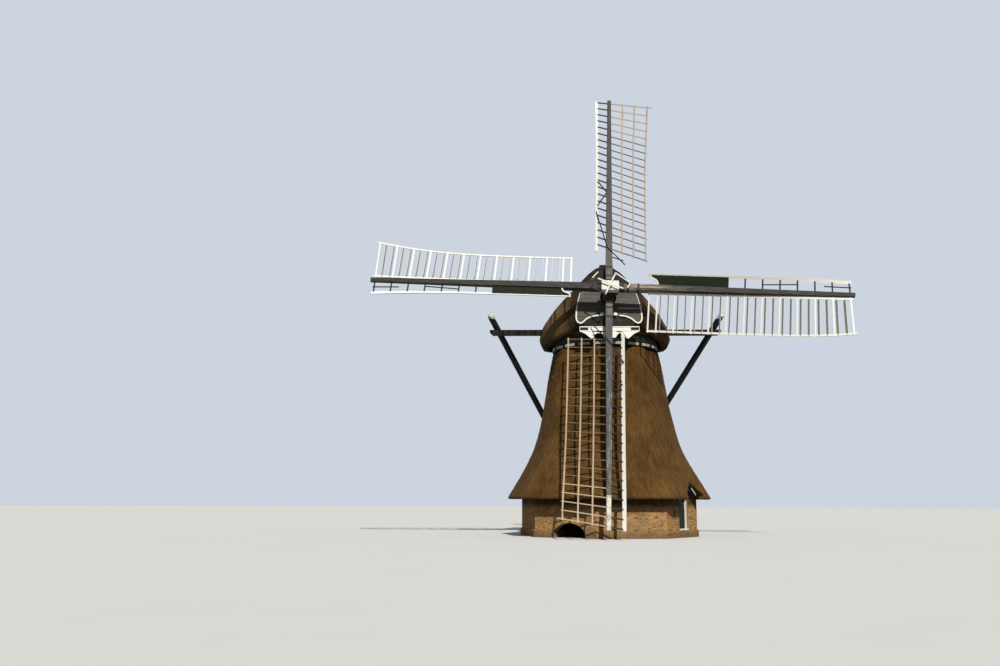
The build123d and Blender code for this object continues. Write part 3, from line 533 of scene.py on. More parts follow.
# %% Set out the walls and the cap
FIRST_SIDE, SIDE_STEP = -169.1, 45      # plan angle of the first side's normal, and the step between
SIDES = ["left", "channel", "front", "door", "right", "rear_right", "rear", "rear_left"]
DOOR_SIDE, ARCH_SIDE = 3, 1
WALL_REACH, PLINTH_REACH, PLINTH_TOP = 3.63, 3.69, 0.31
UP = Vector((0, 0, 1))

HUB = Vector(joints["rotor_spin"]["pos_m"])
AHEAD = Vector(joints["rotor_spin"]["axis"]).normalized()
ACROSS = Vector((1, 0, 0))
RISE = AHEAD.cross(ACROSS)


def side_turn(side):
    return FIRST_SIDE + SIDE_STEP * side


def wall_plane(side, reach=WALL_REACH):
    """Plane of a wall's face: X along the wall, Y up, Z outwards."""
    out = toward(side_turn(side))
    return plane_at(out * reach, toward(side_turn(side) + 90), out)


def cap_plane(back):
    """Plane square to the windshaft behind the hub: X to the right, Y up, Z ahead."""
    return plane_at(HUB - AHEAD * back, ACROSS, AHEAD)


print("hub", tuple(round(value, 3) for value in HUB))

# %% [markdown]
# A sail is twisted like a propeller: steep near the hub, nearly flat at its tip. One function gives
# the plane of a bar at any distance out, and every lath, bracket and board of a sail is set on it, so
# that they all keep to the same twist.

# %% Set out the sails
ROTOR_TURN = -2.27                      # degrees that the level stock leans
STOCK_GAP = 0.51                        # how far the upright stock is behind the level one
PITCH_ROOT, PITCH_TIP, PITCH_POWER = 20, -2, 4.5
SAIL_ROOT, SAIL_END = 1.67, 10.35
CLOTH_SLANT, SHUTTER_SLANT = 7, 1.5     # degrees that the bars lean, trailing end towards the hub
STOCK_HALF, STOCK_PLAIN = 10.5, 0.45
STOCK_HUB, STOCK_TIP = (0.30, 0.34), (0.17, 0.16)
CLOTH_SAILS, SHUTTER_SAILS = (1, 3), (0, 2)


def sail_plane(quarter):
    """Plane of one sail: X out along the stock, Y to the leading edge, Z ahead."""
    turn = math.radians(ROTOR_TURN + 90 * quarter)
    out = ACROSS * math.cos(turn) + RISE * math.sin(turn)
    return plane_at(HUB - AHEAD * (STOCK_GAP if quarter % 2 else 0), out, AHEAD)


def blade_plane(quarter, out):
    """Plane of one bar of a sail: X along the bar to the leading edge, Y ahead, Z outwards."""
    share = max(out - SAIL_ROOT, 0) / (SAIL_END - SAIL_ROOT)
    pitch = math.radians(PITCH_ROOT - (PITCH_ROOT - PITCH_TIP) * share ** PITCH_POWER)
    slant = math.radians(CLOTH_SLANT if quarter % 2 else SHUTTER_SLANT)
    outward, lead = Vector((1, 0, 0)), Vector((0, math.cos(pitch), math.sin(pitch)))
    sail = sail_plane(quarter)
    turned = sail.to_3x3()
    return plane_at(sail @ (outward * out), turned @ (lead * math.cos(slant) + outward * math.sin(slant)),
                    turned @ (outward * math.cos(slant) - lead * math.sin(slant)))


def blade_front(quarter, out):
    """Direction that a sail faces at a distance out."""
    return blade_plane(quarter, out).to_3x3() @ Vector((0, 1, 0))


def on_blade(quarter, out, across, proud=0.0):
    """A point on a sail at its own twist: out along the stock, across to the leading edge, and ahead."""
    return blade_plane(quarter, out) @ Vector((across, proud, 0))


def stock_size(out):
    """Width and depth of a stock at a distance from its middle."""
    share = max(abs(out) - STOCK_PLAIN, 0) / (STOCK_HALF - STOCK_PLAIN)
    return [hub + (tip - hub) * share for hub, tip in zip(STOCK_HUB, STOCK_TIP)]


SAIL_ACROSS, SAIL_RISE = (sail_plane(quarter).to_3x3() @ Vector((1, 0, 0)) for quarter in (0, 1))
print("width of a stock at its tip", round(stock_size(STOCK_HALF)[0], 3))

# %% [markdown]
# ## Thatch: the finish
# Reed thatch is millions of stalk ends, so from afar it reads as soft streaks that run down the slope,
# with darker damp patches and greyer dry ones. Two coarse noises make the patches, two stretched ones
# the streaks, and a fine one the speckle. On the tower, the angle round it is used as a width, so the
# streaks fan out with the slope.

# %% Mix the thatch
THATCH_ROUND = 3.4                      # metres of slope for each radian round the tower
FADED, FADED_SHARE = (0.23, 0.155, 0.082), 0.45
MOSS, DRY, SHADE = (0.034, 0.030, 0.008), (0.58, 0.54, 0.46), (0.014, 0.012, 0.007)
RIDGE_SHADE = (10.45, 11.0, 0.0, 0.88)  # low, high, and the share of shade at each
VERGE_SHADE = (*(AHEAD.dot(HUB) - back for back in (1.62, 1.28)), 0.0, 0.8)
RIGHT_SHADE = (0.4, 1.6, 0.0, 0.5)
# painted shade under the lip of the cap's eave
LIP_SHADE = (8.92, 9.2, 0.9, 0.0)


def painted_cap_shade(finish, x, height):
    """Share of painted shade on the cap: painted shade under the lip of its eave, and darker towards its
    ridge, front verge and right side.
    """
    shade = finish.limits(height, *RIDGE_SHADE)
    for value, span in ((finish.reach(AHEAD), VERGE_SHADE), (x, RIGHT_SHADE), (height, LIP_SHADE)):
        shade = finish.math("MAXIMUM", shade, finish.limits(value, *span))
    return shade


def thatch_finish(name, round_tower):
    finish = Finish(name, roughness=0.92)
    split = finish.node("SeparateXYZ")
    finish.feed(split.inputs[0], finish.place)
    x, y, z = split.outputs
    if round_tower:
        wide = finish.math("MULTIPLY", finish.math("ARCTAN2", y, x), THATCH_ROUND)
        grain = finish.combine(wide, finish.math("MULTIPLY", z, 0.20))
        fine = finish.combine(wide, finish.math("MULTIPLY", z, 0.30))
    else:
        grain = finish.combine(y, finish.math("MULTIPLY", z, 0.14), finish.math("MULTIPLY", x, 0.14))
        fine = grain
    streaks = finish.noise(9, grain, detail=5, rough=0.62)
    reeds = finish.noise(70, fine, detail=3, rough=0.6)
    speckle = finish.noise(38, detail=3, rough=0.7)
    patches = finish.noise(0.75, detail=4, rough=0.6)
    damp = finish.noise(1.9, detail=5, rough=0.65)
    mixed = finish.math("ADD", finish.math("MULTIPLY", streaks, 0.32), finish.math("MULTIPLY", reeds, 0.3))
    mixed = finish.math("ADD", mixed, finish.math("MULTIPLY", speckle, 0.38))
    straw = finish.ramp(mixed, (0.30, (0.032, 0.015, 0.004)), (0.44, (0.088, 0.042, 0.011)),
                        (0.54, (0.150, 0.080, 0.022)), (0.68, (0.26, 0.155, 0.052)))
    straw = finish.mix(finish.limits(patches, 0.40, 0.62), straw, DRY, "MULTIPLY")
    straw = finish.mix(finish.limits(damp, 0.56, 0.70, 0.0, 0.6), straw, MOSS)
    if not round_tower:
        straw = finish.mix(FADED_SHARE, straw, FADED)
        height = finish.math("ADD", z, finish.math("MULTIPLY", damp, 0.7))
        # the cap is painted dark here: painted shade under the lip of the eave, and darker towards the ridge,
        # verge and right side
        straw = finish.mix(painted_cap_shade(finish, x, height), straw, SHADE)
    finish.colour(straw)
    for height, distance in ((streaks, 0.03), (reeds, 0.012), (speckle, 0.008)):
        finish.bump(height, distance)
    return finish.material


tower_thatch = thatch_finish("tower_thatch", True)
cap_thatch = thatch_finish("cap_thatch", False)
cut_reed = Finish("cut_reed", roughness=0.9)
reed_tone = cut_reed.ramp(cut_reed.tint(), (0, (0.045, 0.025, 0.010)), (0.5, (0.14, 0.080, 0.030)),
                          (1, (0.29, 0.18, 0.07)))
cut_reed.colour(cut_reed.mix(cut_reed.noise(40), reed_tone, (0.10, 0.058, 0.022)))
print("nodes in the tower's thatch", len(tower_thatch.node_tree.nodes))

# %% [markdown]
# ## Thatch: the slope of the coat
# The eight fields are really one coat, dressed round the corners until they blend. The coat reads its
# slope from one packed field, by height. Its own curve could be drawn again here, but then it would
# drift from the solids when a size changes.

# %% Read the slope of a field
COAT_COLUMNS, COAT_ROWS = 496, 138
FIELD_THICK = 0.3                       # rows of points that span less than this miss the outer face
EASING = 24                             # passes that take the corners out of the slope
TOP_LIFT = 0.045


def field_slope(node, turn):
    """Outer slope of a packed field: heights, and how far out the face is at each."""
    out = toward(turn)
    spots = {}
    for vertex in nodes[node].data.vertices:
        spots.setdefault(round(vertex.co.z, 2), []).append(vertex.co.dot(out))
    heights = [height for height in sorted(spots) if max(spots[height]) - min(spots[height]) > FIELD_THICK]
    return heights, [max(spots[height]) for height in heights]


def smooth_row(places, values, wanted):
    """Values between given ones, eased until the row has no corners."""
    row = np.interp(wanted, places, values)
    for _ in range(EASING):
        row[1:-1] = (row[:-2] + 2 * row[1:-1] + row[2:]) / 4
    return row


slope_heights, slope_reach = field_slope("thatch_front", side_turn(2))
coat_heights = np.linspace(slope_heights[-1], slope_heights[0] + TOP_LIFT, COAT_ROWS)
coat_reach = smooth_row(slope_heights, slope_reach, coat_heights)
print("the coat goes out from", round(coat_reach[0], 2), "to", round(coat_reach[-1], 2))

# %% [markdown]
# ## Thatch: the corners
# A thatcher beats the reed round each corner of the octagon, so it has no edge. The sharp outline is
# written as how far each plan angle is beyond the face, and then blurred with soft weights. Wavy
# noise adds the bundles and stalks that stand a little above or below the true slope.

# %% Soften the corners
CORNER_SOFTNESS = 2.4                   # degrees
SOFT_REACH = 3                          # how many softnesses the blur goes out to each side
REED_WAVES = ((0.9, 0.028), (4.5, 0.8, 3, 0.012), (13, 2.6, 7, 0.008))


def corner_rounding(turns):
    """How much further out than its face each plan angle of the octagon is, with soft corners."""
    spread = np.radians((turns - FIRST_SIDE + SIDE_STEP / 2) % SIDE_STEP - SIDE_STEP / 2)
    sharp = 1 / np.cos(spread)
    step_wide = turns[1] - turns[0]
    reach = int(SOFT_REACH * CORNER_SOFTNESS / step_wide)
    steps = range(-reach, reach + 1)
    weights = [math.exp(-(step * step_wide / CORNER_SOFTNESS) ** 2 / 2) for step in steps]
    return sum(np.roll(sharp, step) * weight for step, weight in zip(steps, weights)) / sum(weights)


def roughness_of_thatch(spot):
    """How far the dressed reed stands above or below its true slope: swells, bundles and stalks."""
    around = math.atan2(spot.y, spot.x) * THATCH_ROUND
    (swell, most), *fine_waves = REED_WAVES
    total = noise.noise(spot * swell) * most
    for across, down, seed, most in fine_waves:
        total += noise.noise(Vector((around * across, spot.z * down, seed))) * most
    return total


coat_turns = np.arange(COAT_COLUMNS) * 360 / COAT_COLUMNS
rounding = corner_rounding(coat_turns)
print("corners stand out by", round(float(rounding.max()), 3), "times the face's distance")

# %% [markdown]
# ## Thatch: the coat of the tower
# The coat is a grid of rings. They come down the slope, roll over at the eave where the reeds are
# cut, and go back up inside. A grid of points moved in code keeps every row level, which a sculpt or
# a remesh would lose.

# %% Thatch the tower
EAVE_LIP = [(-0.012, 1.655), (-0.030, 1.628), (-0.075, 1.612), (-0.19, 1.618), (-0.31, 1.64)]
LIP_SHARE, LIP_LIFT = 0.7, 0.4          # how ragged the cut ends are, and how much of it goes up
COAT_INSIDE = [1.9, 2.5, 3.6, 5.5]
COAT_THICK = 0.31
TOP_EDGE = 0.05                         # near the top the coat only goes in, to stay under the curb

rings = [(reach, height, 1.0) for height, reach in zip(coat_heights, coat_reach)]
rings += [(coat_reach[-1] + back, height, LIP_SHARE) for back, height in EAVE_LIP]
rings += [(float(np.interp(height, slope_heights, slope_reach)) - COAT_THICK, height, 0.0)
          for height in COAT_INSIDE]
rings.append((coat_reach[0] - COAT_THICK, coat_heights[0], 0.0))

coat_points = []
for reach, height, share in rings:
    for turn, soft in zip(coat_turns, rounding):
        spot = toward(turn) * (reach * soft) + UP * height
        ragged = share * roughness_of_thatch(spot)
        if height > slope_heights[-1] - TOP_EDGE:
            ragged = -abs(ragged)
        lift = ragged * (LIP_LIFT if share < 1 else 0.0)
        coat_points.append(toward(turn) * (reach * soft + ragged) + UP * (height + lift))
coat_faces = []
for row in range(len(rings)):
    here, below = row * COAT_COLUMNS, (row + 1) % len(rings) * COAT_COLUMNS
    for column in range(COAT_COLUMNS):
        after = (column + 1) % COAT_COLUMNS
        coat_faces.append([here + column, below + column, below + after, here + after])
coat = Pile()
coat.add(coat_points, coat_faces)
thatch_coat = coat.piece("thatch_coat", "tower", "thatch", tower_thatch, smooth=True)

# %% [markdown]
# ## Thatch: the notch over the door
# The coat is cut away over the door to make room for its little gable. A boolean modifier does the
# cut with a prism of the same outline as the notch in the packed field, and is then applied, so that
# no modifier is left behind.

# %% Cut the notch over the door
DOOR_MIDDLE = 0.17
NOTCH_HALF, NOTCH_TOP, NOTCH_FOOT, NOTCH_UNDER = 0.84, 2.33, 1.82, 1.2
NOTCH_REACH, NOTCH_DEEP = 3.3, 2.5


def apply_modifiers(thing):
    """Give a piece the shape that its modifiers make, and remove them."""
    bpy.context.view_layer.update()
    made = bpy.data.meshes.new_from_object(thing.evaluated_get(bpy.context.evaluated_depsgraph_get()))
    thing.modifiers.clear()
    thing.data = made


def cut_away(target, pile):
    """Take a pile's solid out of a piece."""
    cutter = put("cutter", pile.mesh("cutter"))
    modifier = target.modifiers.new("cut", "BOOLEAN")
    modifier.operation, modifier.object, modifier.solver = "DIFFERENCE", cutter, "EXACT"
    apply_modifiers(target)
    bpy.data.objects.remove(cutter)


left, right = DOOR_MIDDLE - NOTCH_HALF, DOOR_MIDDLE + NOTCH_HALF
notch = [(left, NOTCH_UNDER), (right, NOTCH_UNDER), (right, NOTCH_FOOT), (DOOR_MIDDLE, NOTCH_TOP),
         (left, NOTCH_FOOT)]
prism = Pile()
door_plane = wall_plane(DOOR_SIDE, NOTCH_REACH)
skin(prism, [[door_plane @ Vector((x, y, depth)) for x, y in notch] for depth in (0, NOTCH_DEEP)])
cut_away(thatch_coat, prism)
thatch_nodes = ["thatch_" + side for side in SIDES]
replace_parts(thatch_coat, *thatch_nodes)
print("coat faces after the cut", len(thatch_coat.data.polygons))

# %% [markdown]
# ## Thatch: stalks that stand out
# A clean surface gives a thatch away as a model. Loose stalks lie on the slope, slightly askew. Each is
# a three-sided sliver, the fewest faces a solid stalk can have. Hair would be quicker to set up, but a
# mesh keeps its place as plain geometry.

# %% Scatter the loose stalks
LOOSE_STALKS = 7000
LOOSE_HEIGHTS, LOOSE_LENGTHS, LOOSE_LIFTS = (1.75, 8.05), (0.12, 0.38), (0.004, 0.016)
LOOSE_DRIFT, LOOSE_SUNK, LOOSE_RADIUS = 0.5, -0.004, 0.0042
STALK_TAPER = 0.6
STALK_TURNS = (0, 2.094, 4.189)         # thirds of a turn, in radians
DOOR_CLEAR, NOTCH_CLEAR = 0.12, 0.3     # how far stalks stay from the notch
draw = np.random.default_rng(7)


def stalk(pile, start, end, radius, tint):
    """A three-sided reed from one point to another."""
    run = (end - start).normalized()
    side = run.orthogonal().normalized()
    other = run.cross(side)
    ring = [(side * math.cos(turn) + other * math.sin(turn)) * radius for turn in STALK_TURNS]
    skin(pile, [[start + spoke for spoke in ring], [end + spoke * STALK_TAPER for spoke in ring]], tint)


def coat_reach_at(turn, height):
    """How far out the dressed coat is at a plan angle and a height."""
    face = float(np.interp(height, coat_heights[::-1], coat_reach[::-1]))
    return face * float(np.interp(turn, coat_turns, rounding))


def over_the_door(turn, height):
    """Whether a place on the coat is where the notch was cut."""
    spot = wall_plane(DOOR_SIDE).inverted() @ (toward(turn) * coat_reach_at(turn, height) + UP * height)
    beside = abs(spot.x - DOOR_MIDDLE) < NOTCH_HALF + DOOR_CLEAR
    return spot.z > -1 and beside and height < NOTCH_TOP + NOTCH_CLEAR


loose = Pile()
for _ in range(LOOSE_STALKS):
    turn, height = draw.uniform(0, 359), draw.uniform(*LOOSE_HEIGHTS)
    length, drift = draw.uniform(*LOOSE_LENGTHS), draw.normal(0, LOOSE_DRIFT)
    lift = draw.uniform(*LOOSE_LIFTS)
    tint = draw.uniform(0.2, 1)
    if over_the_door(turn, height):
        continue
    ends = []
    for spot_turn, spot_height, proud in ((turn, height, LOOSE_SUNK), (turn + drift, height - length, lift)):
        spot_height = max(spot_height, coat_heights[-1])
        true = toward(spot_turn) * coat_reach_at(spot_turn % 360, spot_height) + UP * spot_height
        ends.append(true + toward(spot_turn) * (roughness_of_thatch(true) + proud))
    stalk(loose, *ends, LOOSE_RADIUS, tint)
loose.piece("loose_reeds", "tower", "thatch", cut_reed.material)

# %% [markdown]
# ## Thatch: the cut ends at the eave
# Under the eave the reeds end in a cut face, and single ends hang out of it. They are drawn closer
# together near the outer lip, where the light catches them, and each leans a little outwards.

# %% Hang the cut ends
EAVE_STALKS = 5200
EAVE_CROWD, EAVE_BAND = 1.6, 0.29       # how close the ends crowd to the lip, and how far in they go
EAVE_DROPS, EAVE_SPLAYS = (0.004, 0.022), (0.2, 0.5)
EAVE_ROOT, EAVE_INSET, EAVE_RADIUS = 0.03, 0.015, 0.0065
EAVE_CHECK = 1.7                        # height at which the notch is looked for

eave = Pile()
for _ in range(EAVE_STALKS):
    turn = draw.uniform(0, 359.9)
    back, drop = draw.uniform(0.0, 1.0) ** EAVE_CROWD * EAVE_BAND, draw.uniform(*EAVE_DROPS)
    tint, splay = draw.uniform(0, 1), draw.uniform(*EAVE_SPLAYS)
    if over_the_door(turn, EAVE_CHECK):
        continue
    soft = float(np.interp(turn, coat_turns, rounding))
    foot = toward(turn) * (coat_reach[-1] - back - EAVE_INSET) * soft
    foot += UP * (read_off(EAVE_LIP[1:], -back) + EAVE_ROOT)
    tip = foot + toward(turn) * splay * (EAVE_ROOT + drop) - UP * (EAVE_ROOT + drop)
    stalk(eave, foot, tip, EAVE_RADIUS, tint)
eave.piece("eave_reeds", "tower", "thatch", cut_reed.material)

# %% [markdown]
# ## Thatch: the cap
# The two halves of the cap's thatch meet along the ridge. They are joined and given an even net of
# small faces by a voxel remesh, which also rounds their sawn edges the way reed rounds them. The
# points then move a little in and out, in streaks that run from ridge to eave.

# %% Thatch the cap
CAP_NET, CAP_EASE, CAP_EASE_SHARE = 0.040, 3, 0.5
CAP_JOIN = 0.0005
CAP_HALVES = ("cap_thatch_left", "cap_thatch_right")
CAP_WAVES = ((5, 0.9, 0.014), (14, 2.4, 0.008))
CAP_SWELL, CAP_SWELL_MOST, CAP_SEED = 1.1, 0.022, Vector((5, 0, 0))


def cap_ragged(spot):
    """How far the cap's reed stands in or out: swells, then bundles and stalks."""
    total = noise.noise(spot * CAP_SWELL + CAP_SEED) * CAP_SWELL_MOST
    for along, down, most in CAP_WAVES:
        total += noise.noise(Vector((spot.y * along, spot.z * down, spot.x * down))) * most
    return total


both = bmesh.new()
for half in CAP_HALVES:
    both.from_mesh(nodes[half].data)
bmesh.ops.remove_doubles(both, verts=both.verts, dist=CAP_JOIN)
cap_mesh = bpy.data.meshes.new("cap_coat")
both.to_mesh(cap_mesh)
both.free()
cap_coat = put("cap_coat", cap_mesh)
remesh = cap_coat.modifiers.new("net", "REMESH")
remesh.mode, remesh.voxel_size, remesh.use_smooth_shade = "VOXEL", CAP_NET, True
ease = cap_coat.modifiers.new("ease", "SMOOTH")
ease.factor, ease.iterations = CAP_EASE_SHARE, CAP_EASE
apply_modifiers(cap_coat)
moved = [vertex.co + vertex.normal * cap_ragged(vertex.co) for vertex in cap_coat.data.vertices]
cap_coat.data.vertices.foreach_set("co", [value for spot in moved for value in spot])
cap_coat.data.update()
cap_coat.data.materials.clear()
cap_coat.data.materials.append(cap_thatch)
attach(cap_coat, "cap")
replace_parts(cap_coat, *CAP_HALVES)
print("cap coat faces", len(cap_coat.data.polygons))

# %% [markdown]
# ## Brick: the finish
# Old hand-made bricks vary from yellow to brown and red, and the lowest ones stay damp and dark. Right under
# the
# eave the bricks are painted dark: painted shade, with some grime in it. Each brick's tint picks its colour.

# %% Mix the brick
DAMP_EARTH, OLD_GRIME, EAVE_SHADE_AND_GRIME = (0.12, 0.085, 0.05), (0.13, 0.10, 0.06), (0.028, 0.018, 0.009)

brick = Finish("hand_made_brick", roughness=0.9)
clay = brick.ramp(brick.tint(), (0.0, (0.24, 0.105, 0.040)), (0.2, (0.44, 0.22, 0.080)),
                  (0.5, (0.56, 0.325, 0.125)), (0.8, (0.68, 0.44, 0.18)), (1.0, (0.50, 0.23, 0.120)))
mottled = brick.limits(brick.noise(26, detail=5), 0.35, 0.7)
clay = brick.mix(mottled, clay, (0.64, 0.56, 0.46), "MULTIPLY")
clay = brick.mix(brick.limits(brick.noise(1.6, detail=4), 0.42, 0.72, 0.0, 0.5), clay, OLD_GRIME)
height_line = brick.math("ADD", brick.reach(UP), brick.math("MULTIPLY", brick.noise(3), 0.16))
clay = brick.mix(brick.limits(height_line, 0.20, 0.46, 0.62, 0.0), clay, DAMP_EARTH)
# painted shade and grime right under the eave
clay = brick.mix(brick.limits(height_line, 1.26, 1.50, 0.0, 0.85), clay, EAVE_SHADE_AND_GRIME)
brick.colour(clay)
brick.bump(brick.noise(60, detail=5), 0.003)
brick.bump(brick.noise(12), 0.004)
print("nodes in the brick", len(brick.tree.nodes))

# %% [markdown]
# ## Brick: the mortar
# The packed walls behind the bricks serve as mortar, and as brickwork where no separate bricks are
# laid: inside, and in the reveals. The distance out from the axis tells the outer face from the rest,
# so one finish for each wall does both.

# %% Mix the mortar
WALL_FACE = 3.6                         # further out than this is the outer face
INSIDE_BRICKS = ((0.36, 0.22, 0.11), (0.24, 0.12, 0.06), (0.30, 0.27, 0.22))
WALL_BRICK_WIDE, WALL_BRICK_HIGH, WALL_BRICK_JOINT = 0.225, 0.062, 0.006


def mortar_finish(side):
    """Mortar on the outer face of one wall, and brickwork everywhere behind it."""
    finish = Finish("wall_" + SIDES[side], roughness=0.92)
    height, out = finish.reach(UP), finish.reach(toward(side_turn(side)))
    sideways = finish.math("ADD", finish.reach(toward(side_turn(side) + 90)), out)
    inside = finish.bricks(finish.combine(sideways, height), WALL_BRICK_WIDE, WALL_BRICK_HIGH,
                           WALL_BRICK_JOINT, *INSIDE_BRICKS)
    lime = finish.mix(finish.noise(9, detail=5), (0.29, 0.205, 0.11), (0.52, 0.40, 0.24))
    lime = finish.mix(finish.limits(height, 0.15, 0.5, 0.6, 0.0), lime, (0.10, 0.085, 0.055))
    # painted shade and grime right under the eave
    lime = finish.mix(finish.limits(height, 1.18, 1.42, 0.0, 0.85), lime, EAVE_SHADE_AND_GRIME)
    finish.colour(finish.mix(finish.math("GREATER_THAN", out, WALL_FACE), inside, lime))
    finish.bump(finish.noise(80, detail=4), 0.003)
    return finish.material


print("walls to finish", len(SIDES))

# %% [markdown]
# ## Brick: laying the courses
# The walls are laid in cross bond, the usual bond for such a base: a course of headers, then one of
# stretchers, and every second stretcher course steps aside by half a brick. A loop walks each course
# and leaves out what falls in the doorway or under the arch ring.

# %% Set out the courses
BRICK_LONG, BRICK_HEAD, BRICK_HIGH, JOINT = 0.214, 0.102, 0.052, 0.010
COURSE = BRICK_HIGH + JOINT
WALL_COURSES = 34
BOND_SHIFTS = (0, 0.25, 0, 0.75)        # in four courses, as a share of a brick
SHORTEST_BRICK = 0.03
DOORWAY = (-0.30, 0.64, 1.96)
ARCH_MIDDLE, ARCH_HALF, ARCH_SPRING = 0.19, 0.80, 0.22
ARCH_RADIUS, ARCH_CENTRE, ARCH_RING = 1.0, -0.38, 0.21


def open_span(side, height):
    """The stretch of a course that an opening takes, or nothing."""
    if side == DOOR_SIDE and PLINTH_TOP < height < DOORWAY[2]:
        return DOORWAY[:2]
    if side == ARCH_SIDE and height < ARCH_CENTRE + ARCH_RADIUS + ARCH_RING:
        outer = ARCH_RADIUS + ARCH_RING + JOINT
        half = ARCH_HALF if height < ARCH_SPRING else math.sqrt(outer ** 2 - (height - ARCH_CENTRE) ** 2)
        return ARCH_MIDDLE - half, ARCH_MIDDLE + half
    return None


def course_bricks(course, start, end):
    """Start and end of each brick of a course between two places."""
    length = BRICK_LONG if course % 2 else BRICK_HEAD
    pitch = length + JOINT
    shift = BOND_SHIFTS[course % 4] * pitch
    first = math.floor((start - shift) / pitch)
    for number in range(first, first + int((end - start) / pitch) + 3):
        left = max(shift + number * pitch, start)
        right = min(shift + number * pitch + length, end)
        if right - left > SHORTEST_BRICK:
            yield left, right


print("bricks in a metre of stretchers", len(list(course_bricks(1, 0, 1))))

# %% [markdown]
# ## Brick: the walls
# Each brick is a slab of its own, with a softened rim and corners that are a hair out of true, since
# hand-made bricks are never square. The ring over the arch is laid last, of bricks on end that fan
# round its centre.

# %% Lay the bricks
BRICK_PROUD, BRICK_ROUND = 0.007, 0.003
BRICK_JOG, PROUD_SPREAD, TINT_SPREAD = 0.0012, 0.002, 0.24
MITRE_PROUD = 0.6                       # share of the bricks' relief that the corner bricks reach out
ARCH_STONES, ARCH_JOINT, ARCH_PROUD = 30, 0.005, 0.004


def lay_courses(pile, side):
    for course in range(WALL_COURSES):
        low = course * COURSE + JOINT / 2
        middle = low + BRICK_HIGH / 2
        reach = PLINTH_REACH if middle < PLINTH_TOP else WALL_REACH
        plane = wall_plane(side, reach)
        half = (reach + BRICK_PROUD * MITRE_PROUD) * math.tan(math.radians(SIDE_STEP / 2))
        gap = open_span(side, middle)
        for start, end in [(-half, gap[0]), (gap[1], half)] if gap else [(-half, half)]:
            for left, right in course_bricks(course, start, end):
                jog = draw.normal(0, BRICK_JOG, 4)
                outline = [(left, low + jog[0]), (right, low + jog[1]),
                           (right, low + BRICK_HIGH + jog[2]), (left, low + BRICK_HIGH + jog[3])]
                proud = BRICK_PROUD + draw.uniform(-PROUD_SPREAD, PROUD_SPREAD)
                tint = float(np.clip(draw.normal(0.5, TINT_SPREAD), 0, 1))
                slab(pile, plane, outline, proud, BRICK_ROUND, tint=tint)


def lay_arch(pile):
    first = math.asin((ARCH_SPRING - ARCH_CENTRE) / ARCH_RADIUS)
    step = (math.pi - 2 * first) / ARCH_STONES
    inner, outer = ARCH_RADIUS, ARCH_RADIUS + ARCH_RING
    for number in range(ARCH_STONES):
        start, end = first + step * number + ARCH_JOINT, first + step * (number + 1) - ARCH_JOINT
        outline = [(ARCH_MIDDLE + radius * math.cos(turn), ARCH_CENTRE + radius * math.sin(turn))
                   for radius, turn in ((inner, start), (outer, start), (outer, end), (inner, end))]
        slab(pile, wall_plane(ARCH_SIDE), outline, BRICK_PROUD + ARCH_PROUD, BRICK_ROUND,
             tint=draw.uniform(0.1, 0.9))


for side, side_name in enumerate(SIDES):
    wall_bricks = Pile()
    lay_courses(wall_bricks, side)
    if side == ARCH_SIDE:
        lay_arch(wall_bricks)
    wall_bricks.piece("bricks_" + side_name, "tower", "brick", brick.material)

# %% [markdown]
# ## Painted and tarred wood: the finishes
# Most of the mill is softwood under paint or tar. Paint on outdoor wood shows the grain through it,
# gathers grey dirt, and wears back to bare wood in small flakes; tar dries to a matt black. One recipe
# with different colours makes all of them, and the grain direction is given piece by piece.

# %% Mix paints and tars
BARE_WOOD = (0.24, 0.185, 0.13)
# Each paint or tar has its own colour, the dirt on it, and the wood that shows where it has worn off.
WHITE = ((0.91, 0.89, 0.83), (0.79, 0.76, 0.68), BARE_WOOD)
EDGE_WHITE = ((0.96, 0.95, 0.90), (0.88, 0.86, 0.79), BARE_WOOD)
LATH_WOOD = ((0.62, 0.50, 0.36), (0.44, 0.32, 0.20), BARE_WOOD)
# the bars are painted darker than the laths, as painted shade
BAR_SHADE_COLOURS = ((0.27, 0.18, 0.11), (0.10, 0.062, 0.034), BARE_WOOD)
GREEN = ((0.007, 0.014, 0.007), (0.015, 0.020, 0.009), BARE_WOOD)
TAR = ((0.008, 0.009, 0.008), (0.020, 0.022, 0.018), (0.08, 0.075, 0.065))
CURB_TAR = ((0.008, 0.009, 0.006), (0.018, 0.018, 0.012), (0.09, 0.08, 0.06))
BROWN_TAR = ((0.012, 0.008, 0.006), (0.026, 0.016, 0.012), (0.10, 0.09, 0.075))
GABLE_BROWN = ((0.040, 0.018, 0.015), (0.085, 0.046, 0.026), (0.12, 0.08, 0.05))
GREY = ((0.105, 0.100, 0.080), (0.045, 0.043, 0.034), (0.20, 0.195, 0.18))
OAK = ((0.16, 0.10, 0.055), (0.08, 0.05, 0.03), (0.22, 0.16, 0.10))


def timber_finish(name, colours, grain, wear=0.25, roughness=0.55, board_tint=0.0):
    """Paint or tar over wood: the grain runs along a direction, and wear shows the bare wood."""
    paint, dirt, bare = colours
    finish = Finish(name, roughness=roughness)
    fibres = finish.noise(34, finish.along(grain, 14), detail=5, rough=0.65)
    flakes = finish.noise(7.5, finish.along(grain, 4), detail=6, rough=0.7)
    clouds = finish.noise(0.9, detail=3)
    tone = finish.mix(finish.limits(fibres, 0.32, 0.68), dirt, paint)
    tone = finish.mix(finish.limits(clouds, 0.35, 0.7, 0.0, 0.45), tone, dirt)
    if board_tint:
        tone = finish.mix(finish.math("MULTIPLY", finish.tint(), board_tint), tone, bare)
    worn = finish.limits(flakes, 0.66 - 0.18 * wear, 0.70 - 0.10 * wear, 0.0, min(1, wear * 2.2))
    finish.colour(finish.mix(worn, tone, bare))
    finish.rough(finish.limits(flakes, 0.3, 0.7, roughness - 0.1, roughness + 0.2))
    finish.bump(fibres, 0.003)
    finish.bump(flakes, 0.002)
    return finish.material


